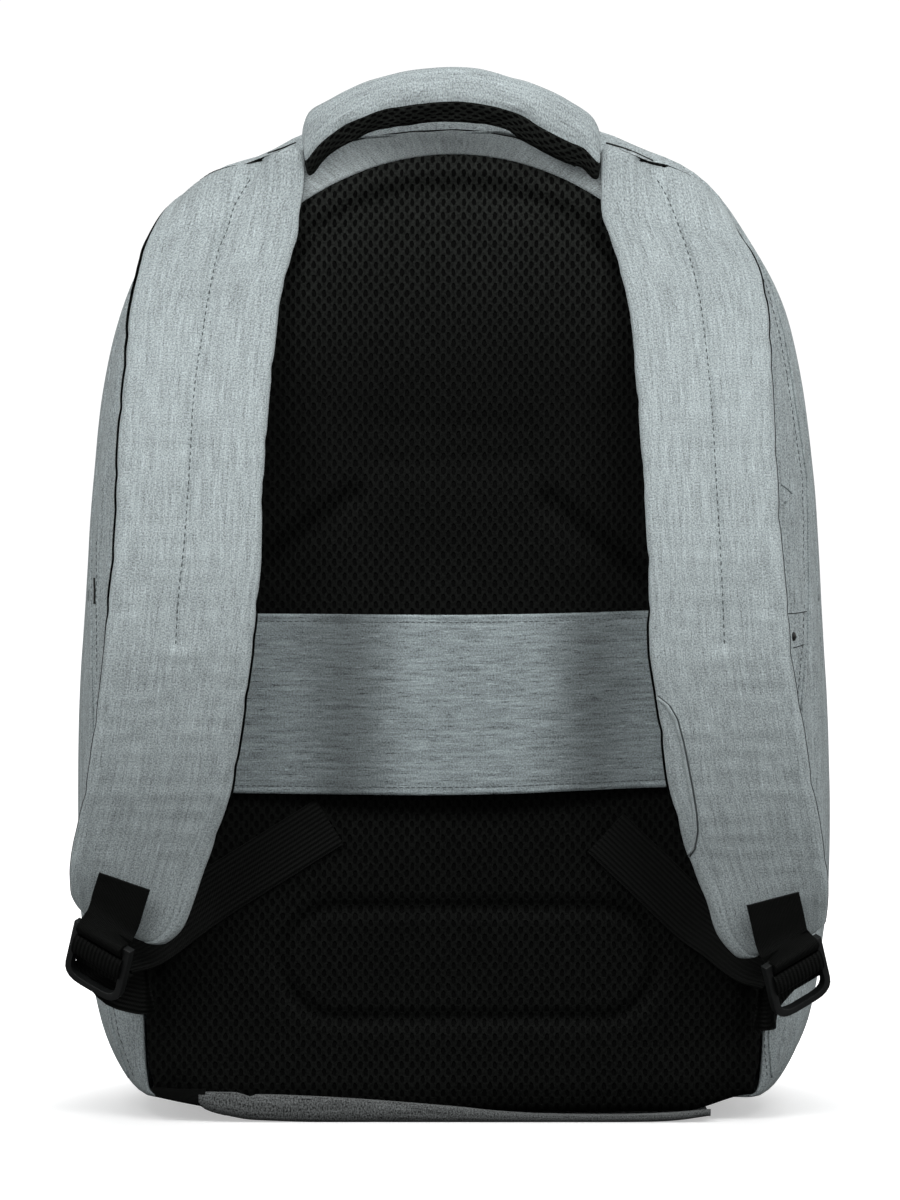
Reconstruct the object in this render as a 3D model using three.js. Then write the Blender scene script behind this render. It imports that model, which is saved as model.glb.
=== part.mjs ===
// Anti theft backpack, seen from the wearer's side along +Y.
// Millimetres, +Z up, +X to the right of that view, the mesh back panel faces -Y.
import * as THREE from 'three';

// Driving dimensions
const BODY_HEIGHT = 474;
const BODY_WIDTH = 366;
const BODY_DEPTH = 180;
const CLOTH = 2;
const BASE_PLATE = 3;
const CLEARANCE = 0.3;
const PANEL_PAD = 9;
const PANEL_HEM = 4;
const PANEL_TAPER = 16;
const YOKE_THICKNESS = 5;
const BAND_HEIGHT = 85;
const BAND_SAG = 2;
const BAND_STAND_OFF = 9;
const BAND_THICKNESS = 2;
const STRAP_THICKNESS = 11;
const STRAP_STAND_OFF = 74;
const STRAP_GROOVE = 1.6;
const LINING_THICKNESS = 2;
const WEBBING_WIDTH = 25;
const WEBBING_THICKNESS = 1.6;
const HANDLE_SPAN = 140;
const HANDLE_RISE = 22.5;
const HANDLE_ABOVE = 8.5;
const HANDLE_BOW = 18;
const HANDLE_HEIGHT = 28;
const HANDLE_DEPTH = 17;
const HANDLE_LINING = 10;
const ZIP_WIDTH = 7;
const ZIP_THICKNESS = 1.6;
const ZIP_CROWN = 0.3;
const PIPING_RADIUS = 1.5;
const BUCKLE_WALL = 3.2;
const BUCKLE_PLATE = 4;
const BUCKLE_BAR = 4;
const BUCKLE_SLOT = 5;
const BUCKLE_WINDOW = 15;

const HALF_WIDTH = BODY_WIDTH / 2;
const BODY_FLOOR = BASE_PLATE + CLEARANCE;
const HANDLE_TOP = BODY_HEIGHT + HANDLE_ABOVE;
const BAND_LEVEL = 0.327;
const BAND_BOTTOM = BODY_HEIGHT * BAND_LEVEL;

// Outline of the body from the base upwards: half widths at the rear edge and at the widest section,
// as shares of HALF_WIDTH, and the height as a share of BODY_HEIGHT.
const OUTLINE = [
  { height: 0.0, rear: 0.735, belly: 0.735 },
  { height: 0.01, rear: 0.785, belly: 0.815 },
  { height: 0.038, rear: 0.8, belly: 0.885 },
  { height: 0.09, rear: 0.805, belly: 0.945 },
  { height: 0.2, rear: 0.818, belly: 0.993 },
  { height: 0.36, rear: 0.82, belly: 1.0 },
  { height: 0.52, rear: 0.81, belly: 0.978 },
  { height: 0.64, rear: 0.79, belly: 0.958 },
  { height: 0.75, rear: 0.752, belly: 0.92 },
  { height: 0.84, rear: 0.69, belly: 0.853 },
  { height: 0.905, rear: 0.61, belly: 0.765 },
  { height: 0.95, rear: 0.5, belly: 0.635 },
  { height: 0.982, rear: 0.35, belly: 0.455 },
  { height: 0.996, rear: 0.18, belly: 0.235 },
  { height: 1.0, rear: 0.0, belly: 0.0 },
];

// Depth of the bag at each height, as a share of BODY_DEPTH.
const SIDE_VIEW = [
  { height: 0.0, depth: 0.9 },
  { height: 0.12, depth: 0.98 },
  { height: 0.3, depth: 1.0 },
  { height: 0.5, depth: 0.965 },
  { height: 0.7, depth: 0.87 },
  { height: 0.85, depth: 0.73 },
  { height: 0.94, depth: 0.6 },
  { height: 1.0, depth: 0.5 },
];

// Sections from the rear edge to the front: how far each has grown from the rear outline to the belly
// outline, its side and top scale, and how far its bottom edge lifts, as shares of the body's sizes.
const SECTIONS = [
  { depth: 0.0, belly: 0.0, side: 1.0, top: 0.985, lift: 0.0 },
  { depth: 0.06, belly: 0.5, side: 1.0, top: 0.994, lift: 0.0 },
  { depth: 0.16, belly: 0.84, side: 1.0, top: 1.0, lift: 0.0 },
  { depth: 0.34, belly: 1.0, side: 1.0, top: 1.0, lift: 0.0 },
  { depth: 0.55, belly: 1.0, side: 0.985, top: 0.995, lift: 0.0 },
  { depth: 0.74, belly: 1.0, side: 0.94, top: 0.98, lift: 0.004 },
  { depth: 0.87, belly: 1.0, side: 0.865, top: 0.95, lift: 0.02 },
  { depth: 0.95, belly: 1.0, side: 0.76, top: 0.9, lift: 0.055 },
  { depth: 0.99, belly: 1.0, side: 0.61, top: 0.82, lift: 0.12 },
  { depth: 1.01, belly: 1.0, side: 0.4, top: 0.7, lift: 0.23 },
  { depth: 1.018, belly: 1.0, side: 0.18, top: 0.58, lift: 0.35 },
];
const FRONT_CENTRE = 0.46;
const ZIP_DEPTH = 0.2;
const ZIP_END = 0.5;
const GUSSET_STEPS = 3;
const SHELL_DEPTHS = [0.34, 0.5, 0.66, 0.79, 0.88, 0.945, 0.985, 1.01, 1.018];
const OUTLINE_STEPS = 20;
const NORMAL_STEP = 0.01;
const CROWN_DEPTH = 0.004;

// Each shoulder strap from its top end to its lower end: height as a share of BODY_HEIGHT, inner and outer
// edge as shares of HALF_WIDTH, front face as a share of STRAP_STAND_OFF, thickness of STRAP_THICKNESS.
const STRAP = [
  { height: 0.972, inner: 0.386, outer: 0.44, front: 0.16, thick: 0.42 },
  { height: 0.953, inner: 0.386, outer: 0.54, front: 0.165, thick: 0.44 },
  { height: 0.935, inner: 0.384, outer: 0.655, front: 0.17, thick: 0.46 },
  { height: 0.912, inner: 0.382, outer: 0.72, front: 0.185, thick: 0.5 },
  { height: 0.885, inner: 0.396, outer: 0.77, front: 0.215, thick: 0.56 },
  { height: 0.851, inner: 0.426, outer: 0.805, front: 0.27, thick: 0.68 },
  { height: 0.811, inner: 0.444, outer: 0.824, front: 0.36, thick: 0.82 },
  { height: 0.74, inner: 0.463, outer: 0.84, front: 0.55, thick: 0.97 },
  { height: 0.65, inner: 0.477, outer: 0.85, front: 0.77, thick: 1.0 },
  { height: 0.56, inner: 0.487, outer: 0.858, front: 0.93, thick: 1.0 },
  { height: 0.475, inner: 0.498, outer: 0.873, front: 1.0, thick: 1.0 },
  { height: 0.4, inner: 0.521, outer: 0.897, front: 0.975, thick: 1.0 },
  { height: 0.32, inner: 0.561, outer: 0.934, front: 0.87, thick: 1.0 },
  { height: 0.27, inner: 0.597, outer: 0.96, front: 0.76, thick: 0.97 },
  { height: 0.228, inner: 0.638, outer: 0.972, front: 0.66, thick: 0.92 },
  { height: 0.2, inner: 0.67, outer: 0.945, front: 0.59, thick: 0.85 },
  { height: 0.18, inner: 0.706, outer: 0.885, front: 0.54, thick: 0.78 },
  { height: 0.168, inner: 0.755, outer: 0.82, front: 0.51, thick: 0.7 },
];
const STRAP_STEPS = 26;
const GROOVE_END = 0.47;
const GROOVE_FADE = 0.02;
const SLOPE_STEP = 0.01;
const DROP = { from: 0.5, over: 0.3 };
const LINING_START = 0.925;
const LINING_END = 0.185;
// The right strap sits a little closer in than the left one, and hangs a little lower.
const SIDES = [
  { name: 'left', sign: -1, outerShift: 0.0, drop: 0.0 },
  { name: 'right', sign: 1, outerShift: -0.03, drop: 0.016 },
];

// Relief of the mesh back panel, lengths in shares of HALF_WIDTH (across) or BODY_HEIGHT (up).
const ARCH = { halfWidth: 0.82, top: 0.96, centre: 0.565 };
const ROLL = { inset: 13, width: 5, depth: 3.2, from: 0.6, fade: 0.1 };
const CHANNEL = { halfWidth: 0.216, top: 0.93, bottom: 0.66, fade: 0.08, depth: 3, soften: 9 };
const LOBE_END = { innerX: 0.25, innerZ: 0.615, outerX: 0.6, outerZ: 0.52, width: 7, depth: 3 };
const LUMBAR = { shift: 0.04, height: 0.155, halfLength: 0.555, radius: 26, width: 5, depth: 2.8 };
const PANEL_BOTTOM = 0.003;
const PANEL_ROWS = 40;
const PANEL_COLUMNS = 32;
const PANEL_CROWN_ROWS = [0.4, 0.7, 0.88, 0.97];
const PANEL_CROWN = 12;
const EDGE_INSET = 1.5;

// Handle: sections along it, how its arch falls, points round a section, and how its ends slim, as shares.
const HANDLE_STEPS = 16;
const HANDLE_SHAPE = 1.9;
const HANDLE_SECTION = 12;
const HANDLE_SLIM = 0.4;
const HANDLE_LOW_ENDS = 0.12;
const HANDLE_LINING_ENDS = 0.55;
const HANDLE_SEAM_TURN = 0.02;

// Piping along the side seams, as shares of BODY_DEPTH and of BODY_HEIGHT.
const PIPING_DEPTH = 0.46;
const PIPING_FROM = 0.34;
const PIPING_TO = 0.86;

// Band: half of its raised middle and the slope on each side of it, as shares of HALF_WIDTH.
const BAND_STEPS = 26;
const BAND_RAISED = 0.22;
const BAND_SLOPE = 0.3;

// Yoke: lower end as a share of BODY_HEIGHT, and its edges' thickness as shares of YOKE_THICKNESS.
const YOKE_STEPS = 28;
const YOKE_END = 0.76;
const YOKE_EDGES = { inner: 0.8, outer: 0.6 };
const SHOULDER_FROM = 0.3;

// Base: half width and length as shares of the body's, its rounded corners, and its lip in millimetres.
const BASE_HALF = 0.665;
const BASE_FRONT = 0.76;
const BASE_STEPS = 14;
const LIP = { left: 13, right: 5, thickness: 2.2, ends: 0.35 };
const BASE_CORNER = { sharpness: 8, pull: 0.14 };

// Cross-section of a padded strap: place from inner to outer edge and depth below the front face.
const STRAP_FRONT = [
  { across: 0.0, sink: 0.5 },
  { across: 0.06, sink: 0.14 },
  { across: 0.26, sink: 0.0 },
  { across: 0.44, sink: 0.02 },
  { across: 0.5, sink: 0.02, groove: 1 },
  { across: 0.56, sink: 0.02 },
  { across: 0.76, sink: 0.0 },
  { across: 0.94, sink: 0.14 },
  { across: 1.0, sink: 0.5 },
];
const STRAP_BACK = [
  { across: 0.95, sink: 0.94 },
  { across: 0.75, sink: 1.0 },
  { across: 0.25, sink: 1.0 },
  { across: 0.05, sink: 0.94 },
];
const LINING_SECTION = [
  { across: 0.02, sink: 0 },
  { across: 0.98, sink: 0 },
  { across: 0.96, sink: 1 },
  { across: 0.5, sink: 1 },
  { across: 0.04, sink: 1 },
];
const LINING_STEPS = 20;

// Ladder lock: place as shares of HALF_WIDTH, BODY_HEIGHT and STRAP_STAND_OFF, turns in degrees,
// and its corner curves as shares of half its width.
const BUCKLE = { across: 0.887, height: 0.183, front: 0.7, roll: 28, yaw: 22, pitch: 32 };
const BUCKLE_PLAY = 0.5;
const BUCKLE_HALF = WEBBING_WIDTH / 2 + BUCKLE_PLAY;
const BUCKLE_ROUND = { radius: 0.62, window: 0.7, foot: 1.3 };

// Webbing: the tab's ends, the side seam where the adjuster starts, and where each tail ends and lies.
const RIBBON_STEPS = 2;
const TAB = { topX: 0.835, topZ: 0.238, lowX: 0.86, lowZ: 0.214, tilt: 24, lift: 1.2, tuck: 1 };
const SIDE_SEAM = { across: 0.785, height: 0.13 };
const ADJUSTER_PATH = [
  { up: -17, out: -9.5, upright: 0.3 },
  { up: -10.5, out: -5, upright: 0 },
  { up: -6.5, out: 0.2, upright: 0 },
];
const ADJUSTER_OVER_BAR = [
  { up: -3, out: 0 },
  { up: 2.2, out: 0.1 },
  { up: 4.6, out: -1.2 },
];
const ADJUSTER_LEAD = { along: 5, out: 1.5 };
const TAILS = {
  left: { endX: 0.32, endZ: 0.293, lowX: 0.615, lowZ: 0.222 },
  right: { endX: 0.392, endZ: 0.282, lowX: 0.615, lowZ: 0.2 },
};
const TAIL_START = { up: -7.5, out: -16 };
const TAIL_SWAG = [
  { share: 0.32, back: 3.5, drop: 3, flat: 0.4 },
  { share: 0.66, back: 3, drop: 1, flat: 0.8 },
];

const GREY_CLOTH = { color: 0xa3adae, roughness: 0.85, metalness: 0 };
const BLACK_MESH = { color: 0x151615, roughness: 0.95, metalness: 0 };
const BLACK_WEBBING = { color: 0x101110, roughness: 0.8, metalness: 0 };
const DARK_PLASTIC = { color: 0x1c1e1e, roughness: 0.45, metalness: 0 };

const pack = new THREE.Group();

function addMesh(name, geometry, finish) {
  const mesh = new THREE.Mesh(geometry, new THREE.MeshStandardMaterial(finish));
  mesh.name = name;
  pack.add(mesh);
  return mesh;
}

function clamp01(value) {
  return Math.min(1, Math.max(0, value));
}

function smooth(value) {
  const t = clamp01(value);
  return t * t * (3 - 2 * t);
}

function mix(a, b, share) {
  return a + (b - a) * share;
}

// Smooth reading of one column of a table whose rows are sorted by the key column.
function readTable(rows, key, at, column) {
  const rising = rows[rows.length - 1][key] > rows[0][key];
  const ordered = rising ? rows : [...rows].reverse();
  const last = ordered.length - 1;
  if (at <= ordered[0][key]) return ordered[0][column];
  if (at >= ordered[last][key]) return ordered[last][column];
  let i = 0;
  while (at > ordered[i + 1][key]) i += 1;
  const slopeAt = (j) => {
    const before = ordered[Math.max(0, j - 1)];
    const after = ordered[Math.min(last, j + 1)];
    return (after[column] - before[column]) / (after[key] - before[key]);
  };
  const low = ordered[i];
  const high = ordered[i + 1];
  const span = high[key] - low[key];
  const t = (at - low[key]) / span;
  const ease = t * t * (3 - 2 * t);
  const straight = mix(low[column], high[column], ease);
  const bendLow = slopeAt(i) * span * t * (1 - t) * (1 - t);
  const bendHigh = slopeAt(i + 1) * span * t * t * (1 - t);
  return straight + bendLow - bendHigh;
}

// A closed body from points and triangles, turned so that its faces point outwards.
function closedBody(points, triangles) {
  let volume = 0;
  for (const [a, b, c] of triangles) {
    volume += points[a].dot(new THREE.Vector3().crossVectors(points[b], points[c]));
  }
  const index = triangles.flatMap(([a, b, c]) => (volume < 0 ? [a, c, b] : [a, b, c]));
  const geometry = new THREE.BufferGeometry();
  geometry.setAttribute('position', new THREE.Float32BufferAttribute(points.flatMap((p) => p.toArray()), 3));
  geometry.setIndex(index);
  geometry.computeVertexNormals();
  return geometry;
}

// Triangles between two closed rows of vertex numbers. From the corner turnFrom on, the squares are split
// along their other diagonal, so that both faces of a twisted strip are split alike.
function bridge(rowA, rowB, turnFrom = Infinity) {
  const triangles = [];
  for (let i = 0; i < rowA.length; i += 1) {
    const j = (i + 1) % rowA.length;
    if (i < turnFrom) triangles.push([rowA[i], rowA[j], rowB[j]], [rowA[i], rowB[j], rowB[i]]);
    else triangles.push([rowA[i], rowA[j], rowB[i]], [rowA[j], rowB[j], rowB[i]]);
  }
  return triangles;
}

// A closed body lofted through rings of points, each end closed by a fan round its middle, or round
// the corner fanFrom of a ring that isn't convex.
function loft(rings, turnFrom, fanFrom) {
  const size = rings[0].length;
  const points = rings.flat();
  const rows = rings.map((ring, r) => ring.map((point, i) => r * size + i));
  const triangles = [];
  for (let r = 0; r < rows.length - 1; r += 1) triangles.push(...bridge(rows[r], rows[r + 1], turnFrom));
  for (const end of [0, rings.length - 1]) {
    const middle = new THREE.Vector3();
    rings[end].forEach((point) => middle.addScaledVector(point, 1 / size));
    const hub = fanFrom === undefined ? points.push(middle) - 1 : rows[end][fanFrom];
    for (let i = 0; i < size; i += 1) {
      const a = rows[end][i];
      const b = rows[end][(i + 1) % size];
      if (a !== hub && b !== hub) triangles.push(end === 0 ? [hub, b, a] : [hub, a, b]);
    }
  }
  return closedBody(points, triangles);
}

// Sample points of the outline, anticlockwise from the middle of the base, with the same count on each side.
function outlineLoop() {
  const risingSide = new THREE.CatmullRomCurve3(
    OUTLINE.map((row) => new THREE.Vector3(row.rear, row.belly, row.height * (BODY_HEIGHT / HALF_WIDTH))),
    false,
    'centripetal',
  );
  const side = risingSide.getSpacedPoints(OUTLINE_STEPS).map((p) => ({
    rear: p.x,
    belly: p.y,
    height: p.z * (HALF_WIDTH / BODY_HEIGHT),
  }));
  const half = OUTLINE[0].rear / 2;
  const right = [{ rear: half, belly: half, height: 0 }, ...side].map((p) => ({ ...p, sign: 1 }));
  const left = right.slice(0, -1).reverse().map((p) => ({ ...p, sign: -1 }));
  const foot = { rear: 0, belly: 0, height: 0, sign: 1 };
  return [foot, ...right, ...left];
}

const LOOP = outlineLoop();

function bodyDepthAt(height) {
  return BODY_DEPTH * readTable(SIDE_VIEW, 'height', height, 'depth');
}

function bodyPoint(sample, depth) {
  const at = (column) => readTable(SECTIONS, 'depth', depth, column);
  const width = mix(sample.rear, sample.belly, at('belly')) * at('side');
  const above = sample.height > FRONT_CENTRE;
  const topScale = (at('top') - FRONT_CENTRE) / (1 - FRONT_CENTRE);
  const bottomScale = 1 - at('lift') / FRONT_CENTRE;
  const height = FRONT_CENTRE + (sample.height - FRONT_CENTRE) * (above ? topScale : bottomScale);
  return new THREE.Vector3(
    sample.sign * HALF_WIDTH * width,
    depth * bodyDepthAt(height),
    BODY_FLOOR + BODY_HEIGHT * height,
  );
}

// Outward direction of the body's surface at a sample, from its neighbours.
function bodyNormal(index, depth) {
  const count = LOOP.length;
  const next = bodyPoint(LOOP[(index + 1) % count], depth);
  const before = bodyPoint(LOOP[(index + count - 1) % count], depth);
  const ahead = bodyPoint(LOOP[index], depth + NORMAL_STEP);
  const behind = bodyPoint(LOOP[index], Math.max(0, depth - NORMAL_STEP));
  return ahead.sub(behind).cross(next.sub(before)).normalize();
}

// Half of the gap between the rear gusset and the front shell, wide where the zip runs.
function seamHalfGap(height) {
  return height >= ZIP_END ? ZIP_WIDTH / 2 + CLEARANCE : CLEARANCE / 2;
}

function seamDepth(sample, direction) {
  return ZIP_DEPTH + (direction * seamHalfGap(sample.height)) / bodyDepthAt(sample.height);
}

// Outer and inner rows of a cloth wall that follows the body's surface at the given depths.
function clothRows(depthRows) {
  const outer = depthRows.map((row) => LOOP.map((sample, i) => bodyPoint(sample, row(sample))));
  const inner = depthRows.map((row, r) =>
    LOOP.map((sample, i) => {
      const normal = bodyNormal(i, row(sample));
      return outer[r][i].clone().addScaledVector(normal, -CLOTH);
    }),
  );
  return { outer, inner };
}

function rearGusset() {
  const depthRows = [];
  for (let step = 0; step <= GUSSET_STEPS; step += 1) {
    depthRows.push((sample) => (step / GUSSET_STEPS) * seamDepth(sample, -1));
  }
  const { outer, inner } = clothRows(depthRows);
  const size = LOOP.length;
  const rings = [...outer, ...inner.reverse()];
  const points = rings.flat();
  const rows = rings.map((ring, r) => ring.map((point, i) => r * size + i));
  const triangles = rows.flatMap((row, r) => bridge(row, rows[(r + 1) % rows.length]));
  return closedBody(points, triangles);
}

function frontShell() {
  const depthRows = [(sample) => seamDepth(sample, 1), ...SHELL_DEPTHS.map((depth) => () => depth)];
  const { outer, inner } = clothRows(depthRows);
  const size = LOOP.length;
  const rings = [...outer.reverse(), ...inner];
  const points = rings.flat();
  const rows = rings.map((ring, r) => ring.map((point, i) => r * size + i));
  const triangles = [];
  for (let r = 0; r < rows.length - 1; r += 1) triangles.push(...bridge(rows[r], rows[r + 1]));
  const centre = { rear: 0, belly: 0, height: FRONT_CENTRE, sign: 1 };
  const lastDepth = SHELL_DEPTHS[SHELL_DEPTHS.length - 1];
  const crown = bodyPoint(centre, lastDepth + CROWN_DEPTH);
  const outerHub = points.push(crown) - 1;
  const innerHub = points.push(crown.clone().add(new THREE.Vector3(0, -CLOTH, 0))) - 1;
  for (let i = 0; i < size; i += 1) {
    const j = (i + 1) % size;
    const lastRow = rows[rows.length - 1];
    triangles.push([outerHub, rows[0][j], rows[0][i]], [innerHub, lastRow[i], lastRow[j]]);
  }
  return closedBody(points, triangles);
}

// Strip of zip tape in the gap between gusset and shell, from one side over the top to the other.
function mainZip() {
  const rings = [];
  LOOP.forEach((sample, i) => {
    if (sample.height < ZIP_END) return;
    const normal = bodyNormal(i, ZIP_DEPTH);
    const halfDepth = ZIP_WIDTH / 2 / bodyDepthAt(sample.height);
    const edge = (side, sink) =>
      bodyPoint(sample, ZIP_DEPTH + side * halfDepth).addScaledVector(normal, -sink);
    rings.push([
      edge(-1, CLOTH - ZIP_THICKNESS),
      edge(0, CLOTH - ZIP_THICKNESS - ZIP_CROWN),
      edge(1, CLOTH - ZIP_THICKNESS),
      edge(1, CLOTH),
      edge(-1, CLOTH),
    ]);
  });
  return loft(rings);
}

// Round piping along a side seam of the front shell.
function sidePiping(sign) {
  const rings = [];
  LOOP.forEach((sample, i) => {
    if (sample.sign !== sign || sample.height < PIPING_FROM || sample.height > PIPING_TO) return;
    const normal = bodyNormal(i, PIPING_DEPTH);
    const centre = bodyPoint(sample, PIPING_DEPTH).addScaledVector(normal, PIPING_RADIUS + CLEARANCE);
    const across = new THREE.Vector3(0, 1, 0);
    rings.push(
      [0, 1, 2, 3, 4, 5].map((corner) => {
        const turn = (corner * Math.PI) / 3;
        return centre
          .clone()
          .addScaledVector(normal, PIPING_RADIUS * Math.cos(turn))
          .addScaledVector(across, PIPING_RADIUS * Math.sin(turn));
      }),
    );
  });
  return loft(rings);
}

// Half width of the body's rear edge at a height in millimetres.
const REAR_TOP = BODY_FLOOR + BODY_HEIGHT * SECTIONS[0].top;
function rearHalfWidth(z) {
  const share = (z - BODY_FLOOR) / BODY_HEIGHT;
  const stretch = (1 - FRONT_CENTRE) / (SECTIONS[0].top - FRONT_CENTRE);
  const above = FRONT_CENTRE + (share - FRONT_CENTRE) * stretch;
  return HALF_WIDTH * readTable(OUTLINE, 'height', clamp01(share > FRONT_CENTRE ? above : share), 'rear');
}

// The mesh panel's edge: an elliptical arch above, the body's rear edge below.
const ARCH_TOP = BODY_FLOOR + BODY_HEIGHT * ARCH.top;
const ARCH_CENTRE = BODY_FLOOR + BODY_HEIGHT * ARCH.centre;
const ARCH_HALF_WIDTH = HALF_WIDTH * ARCH.halfWidth;
function panelHalfWidth(z) {
  const rear = rearHalfWidth(z) - EDGE_INSET;
  if (z <= ARCH_CENTRE) return rear;
  const rise = clamp01((z - ARCH_CENTRE) / (ARCH_TOP - ARCH_CENTRE));
  return Math.min(rear, ARCH_HALF_WIDTH * Math.sqrt(1 - rise * rise));
}

const PANEL_LOW = BODY_FLOOR + BODY_HEIGHT * PANEL_BOTTOM;
function panelEdgeDistance(x, z) {
  const sideways = panelHalfWidth(z) - Math.abs(x);
  const upwards = z - PANEL_LOW;
  if (z <= ARCH_CENTRE) return Math.min(sideways, upwards);
  const reach = Math.hypot(x / ARCH_HALF_WIDTH, (z - ARCH_CENTRE) / (ARCH_TOP - ARCH_CENTRE));
  return Math.min(sideways, upwards, (1 - reach) * ARCH_HALF_WIDTH);
}

function groove(distance, width, depth) {
  return depth * (1 - smooth(Math.abs(distance) / width));
}

function distanceToSegment(x, z, from, to) {
  const run = new THREE.Vector2(to.x - from.x, to.y - from.y);
  const offset = new THREE.Vector2(x - from.x, z - from.y);
  const share = clamp01(offset.dot(run) / run.lengthSq());
  return offset.addScaledVector(run, -share).length();
}

// Thickness of the padded mesh at a place on the panel.
function panelThickness(x, z) {
  const share = (z - BODY_FLOOR) / BODY_HEIGHT;
  const edge = panelEdgeDistance(x, z);
  let thickness = mix(PANEL_HEM, PANEL_PAD, smooth(edge / PANEL_TAPER));
  thickness -= groove(edge - ROLL.inset, ROLL.width, ROLL.depth) * smooth((share - ROLL.from) / ROLL.fade);
  const inChannel = 1 - smooth((Math.abs(x) - CHANNEL.halfWidth * HALF_WIDTH) / CHANNEL.soften + 0.5);
  const alongChannel =
    smooth((share - CHANNEL.bottom) / CHANNEL.fade + 0.5) * smooth((edge - ROLL.inset) / CHANNEL.soften);
  thickness -= CHANNEL.depth * inChannel * alongChannel;
  const lobeTop = BODY_FLOOR + LOBE_END.innerZ * BODY_HEIGHT;
  const lobeFoot = BODY_FLOOR + LOBE_END.outerZ * BODY_HEIGHT;
  const lobeInner = new THREE.Vector2(LOBE_END.innerX * HALF_WIDTH, lobeTop);
  const lobeOuter = new THREE.Vector2(LOBE_END.outerX * HALF_WIDTH, lobeFoot);
  const toLobe = distanceToSegment(Math.abs(x), z, lobeInner, lobeOuter);
  thickness -= groove(toLobe, LOBE_END.width, LOBE_END.depth);
  const straight = LUMBAR.halfLength * HALF_WIDTH - LUMBAR.radius;
  const along = Math.max(0, Math.abs(x - LUMBAR.shift * HALF_WIDTH) - straight);
  const toLumbar = Math.hypot(along, z - BODY_FLOOR - LUMBAR.height * BODY_HEIGHT) - LUMBAR.radius;
  thickness -= groove(toLumbar, LUMBAR.width, LUMBAR.depth);
  return thickness;
}

function backPanel() {
  const heights = [];
  const straightTop = ARCH_TOP - PANEL_CROWN;
  for (let r = 0; r <= PANEL_ROWS; r += 1) heights.push(mix(PANEL_LOW, straightTop, r / PANEL_ROWS));
  PANEL_CROWN_ROWS.forEach((share) => heights.push(mix(straightTop, ARCH_TOP, share)));
  const points = [];
  const front = [];
  const back = [];
  heights.forEach((z) => {
    const half = panelHalfWidth(z);
    const row = [];
    for (let c = 0; c <= PANEL_COLUMNS; c += 1) {
      const x = mix(-half, half, c / PANEL_COLUMNS);
      row.push(points.push(new THREE.Vector3(x, -CLEARANCE - panelThickness(x, z), z)) - 1);
    }
    front.push(row);
    const leftBack = points.push(new THREE.Vector3(-half, -CLEARANCE, z)) - 1;
    const rightBack = points.push(new THREE.Vector3(half, -CLEARANCE, z)) - 1;
    back.push([rightBack, leftBack]);
  });
  const triangles = [];
  for (let r = 0; r < heights.length - 1; r += 1) {
    const low = [...front[r], ...back[r]];
    const high = [...front[r + 1], ...back[r + 1]];
    triangles.push(...bridge(low, high));
  }
  const closeEnd = (row, ends, flip) => {
    const loop = [...row, ends[0]];
    for (let i = 0; i < loop.length - 1; i += 1) {
      const fan = [ends[1], loop[i], loop[i + 1]];
      triangles.push(flip ? fan : [fan[0], fan[2], fan[1]]);
    }
  };
  closeEnd(front[0], back[0], false);
  closeEnd(front[front.length - 1], back[back.length - 1], true);
  return closedBody(points, triangles);
}

// Grey cloth between the mesh arch and the body's top edge, its ends hidden below the straps.
function yoke() {
  const rings = [];
  for (let step = 0; step <= YOKE_STEPS; step += 1) {
    const across = mix(-1, 1, step / YOKE_STEPS);
    const turn = across * Math.acos(clamp01((YOKE_END - ARCH.centre) / (ARCH.top - ARCH.centre)));
    const innerX = (ARCH_HALF_WIDTH + CLEARANCE) * Math.sin(turn);
    const innerZ = ARCH_CENTRE + (ARCH_TOP - ARCH_CENTRE + CLEARANCE) * Math.cos(turn);
    const outerSign = Math.sign(across);
    const outer = outlineRearAt(Math.abs(across));
    const outerX = outerSign * outer.x;
    const mid = new THREE.Vector2((innerX + outerX) / 2, (innerZ + outer.z) / 2);
    const front = -CLEARANCE - YOKE_THICKNESS;
    rings.push([
      new THREE.Vector3(innerX, -CLEARANCE, innerZ),
      new THREE.Vector3(innerX, front * YOKE_EDGES.inner, innerZ),
      new THREE.Vector3(mid.x, front, mid.y),
      new THREE.Vector3(outerX, front * YOKE_EDGES.outer, outer.z),
      new THREE.Vector3(outerX, -CLEARANCE, outer.z),
    ]);
  }
  return loft(rings);
}

// Point of the rear edge for the yoke: 0 at the top middle, 1 at the yoke's lower end.
function outlineRearAt(share) {
  const fullEnd = (YOKE_END - FRONT_CENTRE) * ((1 - FRONT_CENTRE) / (SECTIONS[0].top - FRONT_CENTRE));
  const endHeight = FRONT_CENTRE + fullEnd;
  const endWidth = readTable(OUTLINE, 'height', endHeight, 'rear');
  const width = endWidth * Math.sin((share * Math.PI) / 2);
  const rows = OUTLINE.filter((row) => row.height > SHOULDER_FROM);
  const height = readTable(rows, 'rear', width, 'height');
  const press = (SECTIONS[0].top - FRONT_CENTRE) / (1 - FRONT_CENTRE);
  const shown = FRONT_CENTRE + (height - FRONT_CENTRE) * press;
  return { x: HALF_WIDTH * width, z: BODY_FLOOR + BODY_HEIGHT * shown };
}

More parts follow.
